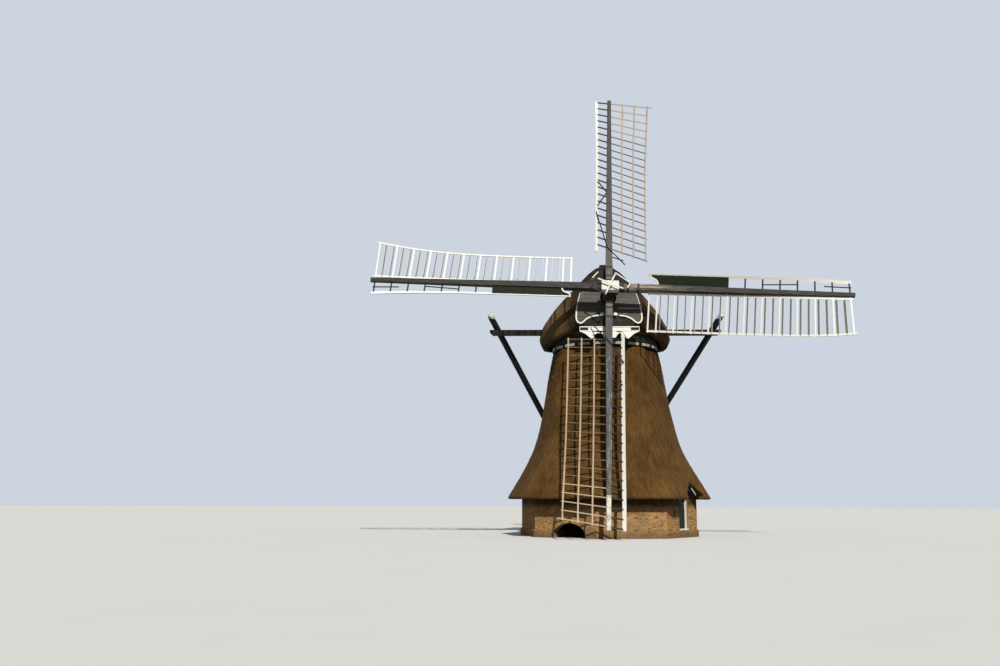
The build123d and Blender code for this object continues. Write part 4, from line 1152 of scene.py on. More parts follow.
white_upright = timber_finish("white_paint_upright", WHITE, UP, wear=0.2)
white_trim = timber_finish("white_trim", WHITE, ACROSS, wear=0.1, roughness=0.45)
edge_white = timber_finish("edge_white", EDGE_WHITE, UP, wear=0.06)
lath_wood = timber_finish("worn_lath_wood", LATH_WOOD, SAIL_RISE, wear=0.4)
bar_shade_finish = timber_finish("shaded_bar_paint", BAR_SHADE_COLOURS, SAIL_ACROSS, wear=0.4)
green_level = timber_finish("green_paint_level", GREEN, SAIL_ACROSS, wear=0.05, roughness=0.4)
green_upright = timber_finish("green_paint_upright", GREEN, UP, wear=0.08, roughness=0.42)
tarred = timber_finish("tarred_timber", TAR, (0, 0.5, 0.8), wear=0.15, roughness=0.6)
tarred_level = timber_finish("tarred_beam", TAR, ACROSS, wear=0.15, roughness=0.6)
curb_tar = timber_finish("dark_curb_boards", CURB_TAR, UP, wear=0.2, roughness=0.6, board_tint=0.12)
gable_tar = timber_finish("dark_gable_boards", BROWN_TAR, ACROSS, wear=0.2, roughness=0.6, board_tint=0.15)
gable_brown = timber_finish("gable_brown", GABLE_BROWN, ACROSS, wear=0.2, roughness=0.7)
grey_boards = timber_finish("grey_boards", GREY, ACROSS, wear=0.3, roughness=0.5, board_tint=0.2)
oak = timber_finish("old_oak", OAK, (0, 1, 0), wear=0.2)
oak_post = timber_finish("old_oak_post", OAK, UP, wear=0.2)
print("nodes in the white trim", len(white_trim.node_tree.nodes))

# %% [markdown]
# ## Steel and iron: the finishes
# The stocks are steel beams under old paint, streaked by rain along their length: grey on the
# upright one, dark on the level one. Brackets and straps are black iron, with spots of rust. Streaks
# are noise stretched along the beam.

# %% Mix steel and iron
RUST = (0.16, 0.07, 0.03)
IRON_WHITE, IRON_CREAM = (0.86, 0.84, 0.78), (0.66, 0.62, 0.55)


def steel_finish(name, paint, streak, grain, roughness, rust=0.2):
    finish = Finish(name, roughness=roughness, shine=0.3)
    run = finish.noise(16, finish.along(grain, 9), detail=5, rough=0.6)
    spots = finish.noise(5, detail=6, rough=0.7)
    tone = finish.mix(finish.limits(run, 0.38, 0.66), paint, streak)
    finish.colour(finish.mix(finish.limits(spots, 0.62, 0.72, 0.0, rust), tone, RUST))
    finish.rough(finish.limits(run, 0.3, 0.7, roughness, roughness + 0.25))
    finish.bump(spots, 0.002)
    return finish


upright_steel = steel_finish("grey_stock", (0.20, 0.19, 0.17), (0.075, 0.073, 0.07), SAIL_RISE, 0.45, 0.35)
level_steel = steel_finish("dark_stock", (0.011, 0.010, 0.006), (0.026, 0.021, 0.013), SAIL_ACROSS, 0.5, 0.25)
black_iron = steel_finish("black_iron", (0.007, 0.007, 0.008), (0.018, 0.017, 0.016), UP, 0.5).material
cast_iron = steel_finish("cast_iron", (0.05, 0.05, 0.05), (0.03, 0.028, 0.026), AHEAD, 0.5, 0.5).material
white_iron = steel_finish("white_iron", IRON_WHITE, (0.68, 0.65, 0.58), RISE, 0.45, 0.15).material
# the poll end's black stands partly for painted shade behind its white front
poll_white_and_painted_shade = steel_finish("poll_white_and_painted_shade", (0.009, 0.009, 0.009), (0.022, 0.021, 0.020), RISE, 0.5)
print("finishes so far", len(bpy.data.materials))

# %% [markdown]
# ## Paint that changes along the upright stock
# The upright stock has gone nearly black towards its upper tip and grey below, and its lowest end is
# painted white, so that its swing can be seen. The paint is mixed by the distance out from the hub:
# a colour ramp holds the tones from the lower tip to the upper one, and noise wears holes in them.

# %% Paint the upright stock
WHITE_END, STOCK_REACH = 9.1, 10.5
STOCK_TONES = ((0.10, (0.18, 0.16, 0.14)), (0.25, (0.10, 0.105, 0.115)), (0.36, (0.080, 0.085, 0.095)),
               (0.42, (0.080, 0.074, 0.068)), (0.455, (0.21, 0.18, 0.155)), (0.53, (0.23, 0.185, 0.145)),
               (0.60, (0.10, 0.084, 0.066)), (0.70, (0.040, 0.036, 0.030)), (1.0, (0.030, 0.032, 0.033)))
BARE_STEEL, RUN_BLACK = (0.42, 0.43, 0.44), (0.006, 0.006, 0.006)
SCUFF_END, SCUFF_START = -2.4, -2.0     # the scuffs lie below the hub

steel = upright_steel
up_out = steel.math("SUBTRACT", steel.reach(SAIL_RISE), SAIL_RISE.dot(HUB))
aged = steel.ramp(steel.limits(up_out, -STOCK_REACH, STOCK_REACH), *STOCK_TONES)
run_marks = steel.noise(16, steel.along(SAIL_RISE, 9), detail=5, rough=0.65)
aged = steel.mix(steel.limits(run_marks, 0.40, 0.60), RUN_BLACK, aged)
scuffed = steel.math("MULTIPLY", steel.limits(run_marks, 0.58, 0.66, 0.0, 0.75),
                     steel.limits(up_out, SCUFF_END, SCUFF_START, 1.0, 0.0))
aged = steel.mix(scuffed, aged, BARE_STEEL)
worn_white = steel.mix(steel.limits(steel.noise(6, detail=5), 0.45, 0.7), (0.72, 0.68, 0.60),
                       (0.40, 0.35, 0.28))
steel.colour(steel.mix(steel.math("LESS_THAN", up_out, -WHITE_END), aged, worn_white))
print("tones along the upright stock", len(STOCK_TONES))

# %% [markdown]
# ## Painted sheen, painted shade and white paint
# The level stock is painted pale beside the hub on its right: a painted sheen, with scratches of wear in it.
# The poll end is cast iron under black paint that stands partly for painted shade, and only its front,
# ahead of a seam, is white. The braces are black with small white tips, well above the cross-beam. In
# each, a distance along one direction picks the paint.

# %% Paint the level stock's sheen, and whiten the poll end and the braces
SHEEN_RUB_FROM, SHEEN_RUB_FULL, SHEEN_RUB_FADE, SHEEN_RUB_TO = 0.50, 0.75, 1.35, 3.4
SHEEN_AND_RUB = (0.46, 0.35, 0.27)
POLL_SEAM, BRACE_SEAM = -0.02, 9.80

steel = level_steel
# painted sheen with scratches of wear, on the right of the hub only
side_out = steel.math("SUBTRACT", steel.reach(SAIL_ACROSS), SAIL_ACROSS.dot(HUB))
sheen_and_rub_share = steel.math("MULTIPLY", steel.limits(side_out, SHEEN_RUB_FROM, SHEEN_RUB_FULL),
                    steel.limits(side_out, SHEEN_RUB_FADE, SHEEN_RUB_TO, 1.0, 0.0))
scratches = steel.limits(steel.noise(7, steel.along(SAIL_ACROSS, 11), detail=5), 0.40, 0.58)
steel.colour(steel.mix(steel.math("MULTIPLY", sheen_and_rub_share, scratches), steel.coloured(), SHEEN_AND_RUB))

# white ahead of the seam; the black behind it is partly painted shade
front = poll_white_and_painted_shade.math("GREATER_THAN", poll_white_and_painted_shade.reach(AHEAD), AHEAD.dot(HUB) + POLL_SEAM)
poll_white = poll_white_and_painted_shade.mix(poll_white_and_painted_shade.noise(9, detail=5), IRON_WHITE, IRON_CREAM)
poll_white_and_painted_shade.colour(poll_white_and_painted_shade.mix(front, poll_white_and_painted_shade.coloured(), poll_white))

braces = Finish("brace_paint", roughness=0.6)
brace_grain = braces.noise(26, braces.along((0, 0.6, 0.8), 10), detail=5)
brace_black = braces.mix(brace_grain, (0.008, 0.008, 0.010), (0.026, 0.027, 0.031))
brace_white = braces.mix(brace_grain, (0.66, 0.63, 0.57), IRON_WHITE)
tips = braces.math("GREATER_THAN", braces.reach(UP), BRACE_SEAM)
braces.colour(braces.mix(tips, brace_black, brace_white))
braces.bump(brace_grain, 0.003)
print("finishes so far", len(bpy.data.materials))

# %% [markdown]
# ## Floor and doorstep
# The ground floor is worn brick laid flat, dark with soil, and it only shows when the door stands
# open. A brick texture is enough for it, since no light rakes across it.

# %% Mix the floor bricks
FLOOR_BRICK_WIDE, FLOOR_BRICK_HIGH, FLOOR_JOINT = 0.22, 0.11, 0.005
FLOOR_COLOURS = ((0.21, 0.11, 0.07), (0.15, 0.085, 0.055), (0.09, 0.075, 0.055))

floor_brick = Finish("floor_brick", roughness=0.85)
laid = floor_brick.bricks(floor_brick.place, FLOOR_BRICK_WIDE, FLOOR_BRICK_HIGH, FLOOR_JOINT, *FLOOR_COLOURS)
floor_brick.colour(floor_brick.mix(floor_brick.noise(4, detail=5), laid, (0.10, 0.075, 0.05)))
floor_brick.bump(floor_brick.noise(50), 0.002)
print("nodes in the floor", len(floor_brick.tree.nodes))

# %% [markdown]
# ## Give every packed node its finish
# A dictionary keeps the choice in one place. Each packed node that stays in view is dressed here, and
# the last line prints what was forgotten, which should be nothing.

# %% Dress the packed nodes
finishes = {
    "ground_floor": floor_brick.material, "door_threshold": floor_brick.material,
    "door_frame": white_upright, "door_leaf": green_upright, "door_gable": gable_brown,
    "corner_posts": oak_post, "curb_ring": curb_tar, "cap_ridge": tarred, "front_shield": grey_boards,
    "breast_board": grey_boards, "rear_shield": grey_boards, "beard": white_trim, "side_beams": oak,
    "cap_ring": oak, "neck_beam": oak, "tail_beam": oak, "cross_beams": tarred_level, "tail_pole": tarred,
    "braces": braces.material, "winch_wheel": black_iron, "windshaft": cast_iron,
    "poll_end": poll_white_and_painted_shade.material, "spider": white_iron, "stock_inner": upright_steel.material,
    "stock_outer": level_steel.material, "cloth_lattices": lath_wood, "shutter_frames": edge_white,
    "shutters": white_upright, "leading_edges": edge_white, "brackets": black_iron,
    "wind_boards": green_level,
}
wall_nodes = {"wall_" + name: side for side, name in enumerate(SIDES)}
wall_nodes.update({"wall_door_sides": DOOR_SIDE, "wall_door_over": DOOR_SIDE})
for name, side in wall_nodes.items():
    if name in nodes:
        finishes[name] = mortar_finish(side)
for name, finish in finishes.items():
    nodes[name].data.materials.clear()
    nodes[name].data.materials.append(finish)
left_bare = sorted(set(nodes) - set(finishes) - set(thatch_nodes) - set(CAP_HALVES))
print("dressed", len(finishes), "left bare", left_bare)

# %% [markdown]
# ## The door
# The leaf is a plain board door: upright boards on the outside, ledges and a brace behind them. The
# packed leaf is the solid core, and each board is laid on it with a gap, so that the joints are real.

# %% Board the door
DOOR_LEFT, DOOR_RIGHT, DOOR_LOW, DOOR_HIGH = -0.235, 0.575, 0.375, 1.895
LEAF_FACE, LEAF_BACK = 3.47, 3.43
DOOR_BOARDS, DOOR_BOARD_THICK, DOOR_MARGIN = 6, 0.012, 0.004
BOARD_GAP = 0.006
LEDGE_HEIGHTS, LEDGE_MIDDLE, LEDGE_SIZE = (0.80, 1.42), -0.19, (0.68, 0.12, 0.022)
BRACE_FOOT, BRACE_HEAD, BRACE_INSET = 0.10, -0.48, 0.07
BRACE_WIDE, BRACE_THICK = 0.10, 0.020


def board_row(pile, plane, start, end, low, high, count, thick):
    """Upright boards side by side on a plane, each with its own shade."""
    wide = (end - start) / count
    for number in range(count):
        spot = (start + wide * (number + 0.5), (low + high) / 2, thick / 2)
        block_on(pile, plane, spot, (wide - BOARD_GAP, high - low, thick), 0.003, draw.uniform(0, 1))


door_out = toward(side_turn(DOOR_SIDE))
door_face = wall_plane(DOOR_SIDE, LEAF_FACE)
door_back = plane_at(door_out * LEAF_BACK, toward(side_turn(DOOR_SIDE) - 90), -door_out)
boards = Pile()
board_row(boards, door_face, DOOR_LEFT + DOOR_MARGIN, DOOR_RIGHT - DOOR_MARGIN, DOOR_LOW + DOOR_MARGIN,
          DOOR_HIGH - DOOR_MARGIN, DOOR_BOARDS, DOOR_BOARD_THICK)
for height in LEDGE_HEIGHTS:
    block_on(boards, door_back, (LEDGE_MIDDLE, height, LEDGE_SIZE[2] / 2), LEDGE_SIZE)
brace_low, brace_high = LEDGE_HEIGHTS[0] + BRACE_INSET, LEDGE_HEIGHTS[1] - BRACE_INSET
beam(boards, door_back @ Vector((BRACE_FOOT, brace_low, BRACE_THICK / 2)),
     door_back @ Vector((BRACE_HEAD, brace_high, BRACE_THICK / 2)), BRACE_WIDE, BRACE_THICK, -door_out)
boards.piece("door_boards", "door", "green_wood", green_upright)

# %% [markdown]
# ## The door's irons
# Two strap hinges, a latch plate and its ring hang on the boards. They are black iron, thin and
# chamfered, and each strap carries the bolts that hold it.

# %% Hang the door irons
STRAP_HEIGHTS, STRAP_MIDDLE, STRAP_SIZE = (0.64, 1.63), 0.31, (0.60, 0.042, 0.005)
STRAP_BOLTS, STRAP_FIRST, STRAP_PITCH = 5, 0.07, 0.12
LATCH_ACROSS, LATCH_HEIGHT, LATCH_SIZE = 0.505, 1.12, (0.05, 0.17, 0.004)
RING_HEIGHT, RING_RADIUS, RING_THICK, RING_STEPS = 1.105, 0.032, 0.0045, 20

irons = Pile()
for height in STRAP_HEIGHTS:
    block_on(irons, door_face, (DOOR_LEFT + STRAP_MIDDLE, height, 0.0145), STRAP_SIZE, 0.002)
    for number in range(STRAP_BOLTS):
        across = DOOR_LEFT + STRAP_FIRST + STRAP_PITCH * number
        bolt(irons, door_face @ Vector((across, height, 0.017)), door_out, 0.010, 0.006)
block_on(irons, door_face, (LATCH_ACROSS, LATCH_HEIGHT, 0.014), LATCH_SIZE, 0.002)
ring = [(y, x) for x, y in circle(RING_RADIUS, RING_STEPS)]
rod(irons, [door_face @ Vector((LATCH_ACROSS + x, RING_HEIGHT + y, 0.022)) for x, y in ring + ring[:1]],
    RING_THICK)
irons.piece("door_irons", "door", "cast_iron", black_iron)

# %% [markdown]
# ## The little gable
# Bargeboards edge the gable in the thatch, brown but for one white length on the right. Upright boards
# close the triangle under it; each is cut to the slope, so it is a slab of four corners.

# %% Board the gable
GABLE_HALF, GABLE_HIGH, GABLE_LOW, GABLE_FACE = 0.78, 2.27, 1.76, 3.90
BARGE_DEEP, BARGE_THICK, BARGE_DROP, BARGE_INSET = 0.06, 0.022, 0.065, 0.005
WHITE_FROM, WHITE_TO = 0.30, 0.86       # the painted share of the right board, from its top
TYMPANUM_BACK, TYMPANUM_LOW, TYMPANUM_DROP, TYMPANUM_EDGE = 0.06, 1.965, 0.05, 0.09
GABLE_BOARDS, LEAST_HEIGHT = 10, 0.01


def barge_spot(sign, share):
    """A point under the gable's edge, from its top (0) to its foot (1)."""
    drop = BARGE_DROP + (GABLE_HIGH - GABLE_LOW - 2 * BARGE_INSET) * share
    return Vector((DOOR_MIDDLE + sign * (GABLE_HALF - BARGE_INSET) * share, GABLE_HIGH - drop))


gable_face = wall_plane(DOOR_SIDE, GABLE_FACE)
white_barge, brown_barge = Pile(), Pile()
for sign, parts in ((-1, (0, 1)), (1, (0, WHITE_FROM, WHITE_TO, 1))):
    for number, (start, end) in enumerate(zip(parts[:-1], parts[1:])):
        low, high = barge_spot(sign, end), barge_spot(sign, start)
        step = Vector((0, BARGE_DEEP))
        outline = [tuple(corner) for corner in (low, high, high + step, low + step)]
        pile = white_barge if number == 1 else brown_barge
        slab(pile, gable_face, outline[::-1] if sign > 0 else outline, BARGE_THICK, 0.004)
white_barge.piece("gable_bargeboards", "tower", "white_wood", white_trim)
brown_barge.piece("gable_brown_boards", "tower", "oak", gable_brown)

tympanum = Pile()
tympanum_face = wall_plane(DOOR_SIDE, GABLE_FACE - TYMPANUM_BACK)
half = GABLE_HALF - TYMPANUM_EDGE
slope = (GABLE_HIGH - GABLE_LOW) / GABLE_HALF
for number in range(GABLE_BOARDS):
    left = DOOR_MIDDLE - half + 2 * half * number / GABLE_BOARDS
    right = DOOR_MIDDLE - half + 2 * half * (number + 1) / GABLE_BOARDS - BOARD_GAP
    tops = [GABLE_HIGH - TYMPANUM_DROP - slope * abs(spot - DOOR_MIDDLE) for spot in (left, right)]
    if min(tops) - TYMPANUM_LOW > LEAST_HEIGHT:
        outline = [(left, TYMPANUM_LOW), (right, TYMPANUM_LOW), (right, tops[1]), (left, tops[0])]
        slab(tympanum, tympanum_face, outline, 0.02, tint=draw.uniform(0, 1))
tympanum.piece("gable_boards", "tower", "green_wood", green_upright)

# %% [markdown]
# ## The wall anchors
# Iron anchors on the brick hold the ends of the floor's ties. Each is a flat bar with a wedge through
# it, so two blocks are enough.

# %% Fix the wall anchors
ANCHOR_HEIGHT = 1.08
ANCHORS = [(DOOR_SIDE, -0.79), (4, -0.9), (4, 0.9), (7, -0.8), (7, 0.8)]    # side, and place along it
ANCHOR_PARTS = [(0.012, (0.042, 0.40, 0.022), 0.005), (0.030, (0.075, 0.026, 0.018), 0.004)]

anchors = Pile()
for side, along in ANCHORS:
    for proud, size, chamfer in ANCHOR_PARTS:
        spot = (along, ANCHOR_HEIGHT, proud)
        block_on(anchors, wall_plane(side, WALL_REACH + BRICK_PROUD), spot, size, chamfer)
anchors.piece("wall_anchors", "tower", "cast_iron", black_iron)

# %% [markdown]
# ## The curb's boards
# Short dark boards clad the curb below the cap, two on each of its flat faces, over a narrow plinth
# moulding. One face is described once, and a loop carries it round.

# %% Clad the curb
CURB_SIDES, CURB_CORNER = 32, 2.40
CURB_LOW, CURB_TOP = 8.28, 8.85
CURB_BOARD, CURB_BOARD_FOOT, CURB_BOARD_HEAD = 0.012, 0.03, 0.006
CURB_PLINTH_HEIGHT, CURB_PLINTH, CURB_PLINTH_OVER = 0.018, (0.032, 0.026), 0.004

curb_face = CURB_CORNER * math.cos(math.pi / CURB_SIDES)
curb_half = CURB_CORNER * math.sin(math.pi / CURB_SIDES)
curb = Pile()
for number in range(CURB_SIDES):
    turn = 360 / CURB_SIDES * (number + 0.5)
    plane = plane_at(toward(turn) * curb_face, toward(turn + 90), toward(turn))
    board_row(curb, plane, -curb_half, curb_half, CURB_LOW + CURB_BOARD_FOOT, CURB_TOP - CURB_BOARD_HEAD, 2,
              CURB_BOARD)
    block_on(curb, plane, (0, CURB_LOW + CURB_PLINTH_HEIGHT, 0.012),
             (2 * curb_half + CURB_PLINTH_OVER, *CURB_PLINTH), 0.006, 0.1)
curb.piece("curb_boards", "tower", "green_wood", curb_tar)

# %% [markdown]
# ## The painted chain
# A chain of white loops is nailed round the curb: two wavy ribbons that cross, in short lengths. A
# sine wave and its mirror image draw one length.

# %% Nail on the chain
CHAIN_LENGTHS, CHAIN_SPAN = 20, 6.5     # number of lengths, and half the plan angle of one
CHAIN_HEIGHT, CHAIN_SWING, CHAIN_WAVES, CHAIN_STEPS = 8.383, 0.044, 4, 32
CHAIN_WIDE, CHAIN_THICK, CHAIN_OFF = 0.027, 0.016, 0.008

chain = Pile()
for number in range(CHAIN_LENGTHS):
    middle = -90 + 360 / CHAIN_LENGTHS * (number + 0.5)
    for phase in (1, -1):
        path = []
        for share in np.linspace(0, 1, CHAIN_STEPS + 1):
            swing = phase * CHAIN_SWING * math.sin(math.pi * CHAIN_WAVES * share)
            out = toward(middle + CHAIN_SPAN * (2 * share - 1))
            path.append(out * (CURB_CORNER + CHAIN_OFF) + UP * (CHAIN_HEIGHT + swing))
        ribbon(chain, path, toward(middle), CHAIN_WIDE, CHAIN_THICK, 0.004)
chain.piece("curb_chain", "tower", "white_wood", white_trim)

# %% [markdown]
# ## The shield: boards
# Level boards close the cap in front, cut to the shield's outline and round the windshaft. Rows of
# boards are cut from the outline by reading its half width at each height. Those above the shaft are
# dark, and the lower ones have weathered to grey.

# %% Board the shield
SHIELD_BACK, SHIELD_THICK = 1.0, 0.045
SHIELD_SIDE = [(1.33, 0.38), (0.80, 0.89), (0.22, 1.28), (-0.38, 1.43), (-0.99, 1.48), (-1.215, 1.42),
               (-1.30, 1.27)]           # height over the shaft's axis, and half width
SHIELD_OGEE = [(-0.917, 0.45), (-0.95, 0.72), (-1.04, 0.91), (-1.18, 1.06), (-1.30, 1.25)]
SHIELD_LOW, SHIELD_LAST, SHIELD_TOP, SHIELD_EDGE = -1.285, 1.30, 1.32, 0.012
SHAFT_HOLE, MIDDLE_GAP = 0.37, 0.004
BOARD_HIGH, BOARD_PROUD, DARK_ABOVE = 0.178, 0.012, 0.30


def side_at(height):
    """Half width of the shield at a height over the shaft's axis."""
    return read_off(SHIELD_SIDE, height) - SHIELD_EDGE


def inner_at(height):
    """Where a board starts, right of the middle: at the shaft's hole, or at the ogee lower down."""
    if abs(height) < SHAFT_HOLE:
        return math.sqrt(SHAFT_HOLE ** 2 - height ** 2)
    return read_off(SHIELD_OGEE, height) if height < SHIELD_OGEE[0][0] else MIDDLE_GAP


shield_face = cap_plane(SHIELD_BACK - SHIELD_THICK)
shield, gable = Pile(), Pile()
level = SHIELD_LOW
while level < SHIELD_LAST:
    top = min(level + BOARD_HIGH - BOARD_GAP, SHIELD_TOP)
    inner = [max(inner_at(height), MIDDLE_GAP) for height in (level, top)]
    if abs(level + top) / 2 < SHAFT_HOLE:
        inner = [max(inner)] * 2
    outline = [(inner[0], level), (side_at(level), level), (side_at(top), top), (inner[1], top)]
    for sign in (-1, 1):
        pile = gable if level > DARK_ABOVE else shield
        slab(pile, shield_face, mirrored(outline, sign), BOARD_PROUD, tint=draw.uniform(0, 1))
    level += BOARD_HIGH
shield.piece("shield_boards", "cap", "grey_boards", grey_boards)
gable.piece("gable_top_boards", "cap", "grey_boards", gable_tar)

# %% [markdown]
# ## The shield: painted trim
# A white moulding runs down each side, round the curl and back along the ogee. A ribbon that follows a
# drawn line with mitred corners gives such trim; its line is a little inside the shield's edge. Round
# and pointed ends of carving finish the ogee.

# %% Trim the shield
TRIM_LINE = [(1.395, -0.40), (1.43, -0.72), (1.445, -0.99), (1.43, -1.11), (1.39, -1.195), (1.33, -1.25),
             (1.26, -1.268), (1.18, -1.24), (1.10, -1.165), (1.01, -1.08), (0.91, -1.01), (0.79, -0.96),
             (0.66, -0.925), (0.45, -0.895)]
THIN_LINE = [(1.245, 0.20), (1.32, -0.08), (1.392, -0.38)]
GABLE_EDGE = [(0.40, 1.29), (0.54, 1.13), (0.67, 0.98)]         # on the left only
# a white strip for the lit top edge of a board: a painted highlight
LIT_EDGE_HIGHLIGHT = [(0.42, -0.545), (1.37, -0.545)]                    # on the right only
DROP = [(0.22, -0.90), (0.40, -0.90), (0.30, -0.80)]
ROSETTE_PLACE, ROSETTE_RADIUS = (0.29, -0.83), 0.085
KNOB_SIDES, TRIM_SEAT = 16, -0.004


def line_on(plane, line, height=TRIM_SEAT):
    """A drawn line as points on a plane, seated a little into it."""
    return [plane @ Vector((x, y, height)) for x, y in line]


trim = Pile()
board_face = shield_face @ Matrix.Translation((0, 0, BOARD_PROUD))
for sign in (-1, 1):
    for line, width, thick in ((TRIM_LINE, 0.064, 0.030), (THIN_LINE, 0.030, 0.016)):
        ribbon(trim, line_on(board_face, mirrored(line, sign)), AHEAD, width, thick, 0.007)
    place = (sign * ROSETTE_PLACE[0], ROSETTE_PLACE[1])
    slab(trim, board_face, circle(ROSETTE_RADIUS, KNOB_SIDES, place), 0.016, 0.006)
    slab(trim, board_face, mirrored(DROP, sign), 0.020, 0.004)
ribbon(trim, line_on(board_face, [(-x, y) for x, y in GABLE_EDGE]), AHEAD, 0.05, 0.022, 0.006)
# painted highlight along the lit edge of a board, on the right only
ribbon(trim, line_on(board_face, LIT_EDGE_HIGHLIGHT), AHEAD, 0.022, 0.014, 0.004)
trim.piece("shield_trim", "cap", "white_wood", white_trim)

# %% [markdown]
# ## The breast
# Below the shield, dark level boards cover the ends of the cap's beams. They are plain slabs in four
# rows, each with its own shade.

# %% Board the breast
BREAST_HALF, BREAST_LOW, BREAST_HIGH, BREAST_ROWS = 1.06, -1.50, -0.86, 4

breast = Pile()
row_high = (BREAST_HIGH - BREAST_LOW) / BREAST_ROWS
for number in range(BREAST_ROWS):
    low = BREAST_LOW + row_high * number
    high = low + row_high - BOARD_GAP
    outline = [(-BREAST_HALF, low), (BREAST_HALF, low), (BREAST_HALF, high), (-BREAST_HALF, high)]
    slab(breast, cap_plane(SHIELD_BACK), outline, 0.014, 0.004, tint=draw.uniform(0, 0.6))
breast.piece("breast_boards", "cap", "grey_boards", curb_tar)

# %% [markdown]
# ## The beard
# In front of the breast's foot hangs the beard, a white carved board. Its mouldings are ribbons along
# the carved edge, and dark slots show the shadow between its two rails.

# %% Carve the beard
BEARD_HALF, BEARD_RAILS = 1.306, ((-1.447, 0.05), (-1.632, 0.04))      # height and width of each rail
CHEEK = [(1.285, -1.655), (1.17, -1.70), (1.05, -1.765), (0.95, -1.855), (0.86, -1.945), (0.795, -1.985),
         (0.735, -1.965), (0.70, -1.90), (0.695, -1.835)]
HOLLOW = [(0.655, -1.80), (0.56, -1.735), (0.45, -1.715), (0.36, -1.765), (0.295, -1.85), (0.262, -1.93)]
KNOB_PLACE, KNOB_RADIUS = (0.755, -1.915), 0.05
SLOTS = ((0.93, 1.29, -1.612, -1.478), (0.30, 0.56, -1.70, -1.655))    # left, right, low, high

beard, slots = Pile(), Pile()
for height, width in BEARD_RAILS:
    rail = line_on(shield_face, [(-BEARD_HALF, height), (BEARD_HALF, height)])
    ribbon(beard, rail, AHEAD, width, 0.024, 0.007)
for sign in (-1, 1):
    for line, width in ((CHEEK, 0.042), (HOLLOW, 0.036)):
        ribbon(beard, line_on(shield_face, mirrored(line, sign)), AHEAD, width, 0.018)
    place = (sign * KNOB_PLACE[0], KNOB_PLACE[1])
    slab(beard, shield_face, circle(KNOB_RADIUS, KNOB_SIDES, place), 0.026, 0.010)
    for start, end, low, high in SLOTS:
        outline = [(start, low), (end, low), (end, high), (start, high)]
        slab(slots, shield_face, mirrored(outline, sign), 0.004, 0.001)
beard.piece("beard_mouldings", "cap", "white_wood", white_trim)
slots.piece("beard_slots", "cap", "green_wood", tarred_level)

# %% [markdown]
# ## The rear shield
# The small rear face has the same level boards, and a white moulding down each edge. The same reading
# of an outline by height cuts its boards.

# %% Board the rear shield
REAR_ROWS = [(2.60, 0.05), (2.50, 0.28), (2.05, 0.70), (1.45, 0.98), (0.85, 1.18)]   # height, half width
REAR_FACE, REAR_LOW, REAR_LAST, REAR_TOP = 2.74, 0.58, 2.5, 2.58
REAR_INSET = 0.02

rear_face = plane_at((0, REAR_FACE, CURB_TOP), (-1, 0, 0), (0, 1, 0))
rear, rear_trim = Pile(), Pile()
level = REAR_LOW
while level < REAR_LAST:
    top = min(level + BOARD_HIGH - BOARD_GAP, REAR_TOP)
    low_half, top_half = read_off(REAR_ROWS, level), read_off(REAR_ROWS, top)
    outline = [(-low_half, level), (low_half, level), (top_half, top), (-top_half, top)]
    slab(rear, rear_face, outline, BOARD_PROUD, tint=draw.uniform(0, 1))
    level += BOARD_HIGH
edge_line = [(half - REAR_INSET, height - REAR_INSET) for height, half in REAR_ROWS[::-1]]
for sign in (-1, 1):
    ribbon(rear_trim, line_on(rear_face, mirrored(edge_line, sign), 0.008), (0, 1, 0), 0.06, 0.02)
rear.piece("rear_boards", "cap", "grey_boards", grey_boards)
rear_trim.piece("rear_trim", "cap", "white_wood", white_trim)

# %% [markdown]
# ## The stocks: bands and wedges
# Both stocks pass through the iron poll end, where wedges jam them tight, and iron bands clasp them
# on each side. The bands follow the stock's taper, so each asks for its width at a distance out.

# %% Band the stocks
BANDS = ((0.56, 0.07), (0.78, 0.07), (1.22, 0.09))      # distance out, and width
BAND_THICK = 0.010
WEDGE_START, WEDGE_END, WEDGE_MIDDLE = 0.36, 0.46, 0.40
WEDGE_WIDE, WEDGE_THICK, WEDGE_SHARE = 0.075, 0.024, 0.26


def band(pile, quarter, out, wide):
    """An iron band round a stock: four plates, and bolts through the front ones."""
    width, depth = stock_size(out)
    sail = sail_plane(quarter)
    for sign in (-1, 1):
        front, edge = sign * (depth + BAND_THICK) / 2, sign * (width + BAND_THICK) / 2
        block_on(pile, sail, (out, 0, front), (wide, width + 2 * BAND_THICK, BAND_THICK), 0.003)
        block_on(pile, sail, (out, edge, 0), (wide, BAND_THICK, depth), 0.003)
        bolt(pile, sail @ Vector((out, sign * width * 0.32, depth / 2 + BAND_THICK)), AHEAD, 0.016)


bands, wedges = Pile(), Pile()
for quarter in range(4):
    for out, wide in BANDS:
        band(bands, quarter, out, wide)
    width, depth = stock_size(WEDGE_MIDDLE)
    sail = sail_plane(quarter)
    for sign in (-1, 1):
        start, end = (sail @ Vector((out, sign * width * WEDGE_SHARE, depth / 2 + WEDGE_THICK / 2))
                      for out in (WEDGE_START, WEDGE_END))
        beam(wedges, start, end, WEDGE_WIDE, WEDGE_THICK, AHEAD, 0.005)
bands.piece("stock_bands", "rotor", "cast_iron", black_iron)
wedges.piece("stock_wedges", "rotor", "cast_iron", black_iron)

# %% [markdown]
# ## The sails: bolts
# The brackets and bars are bolted at the stock, at the leading edge, and where a bar crosses a lath.
# The bolts are small, but they give the long beams a scale, and the eye expects them in a row.

# %% Bolt the sails
CLOTH_BARS = [2.25 + 8.1 * step / 21 for step in range(22)]
SHUTTER_BARS = [2.07 + 8.235 * step / 11 for step in range(12)]
CLOTH_LATHS, SHUTTER_LATHS = (0.65, 1.23, 1.845), (0.2, 1.85)
EDGE_BOLT, LATH_BOLT = (0.60, 0.030), 0.016              # where the bolts sit on the edge and the laths
STOCK_BOLT_SHARE = 0.3

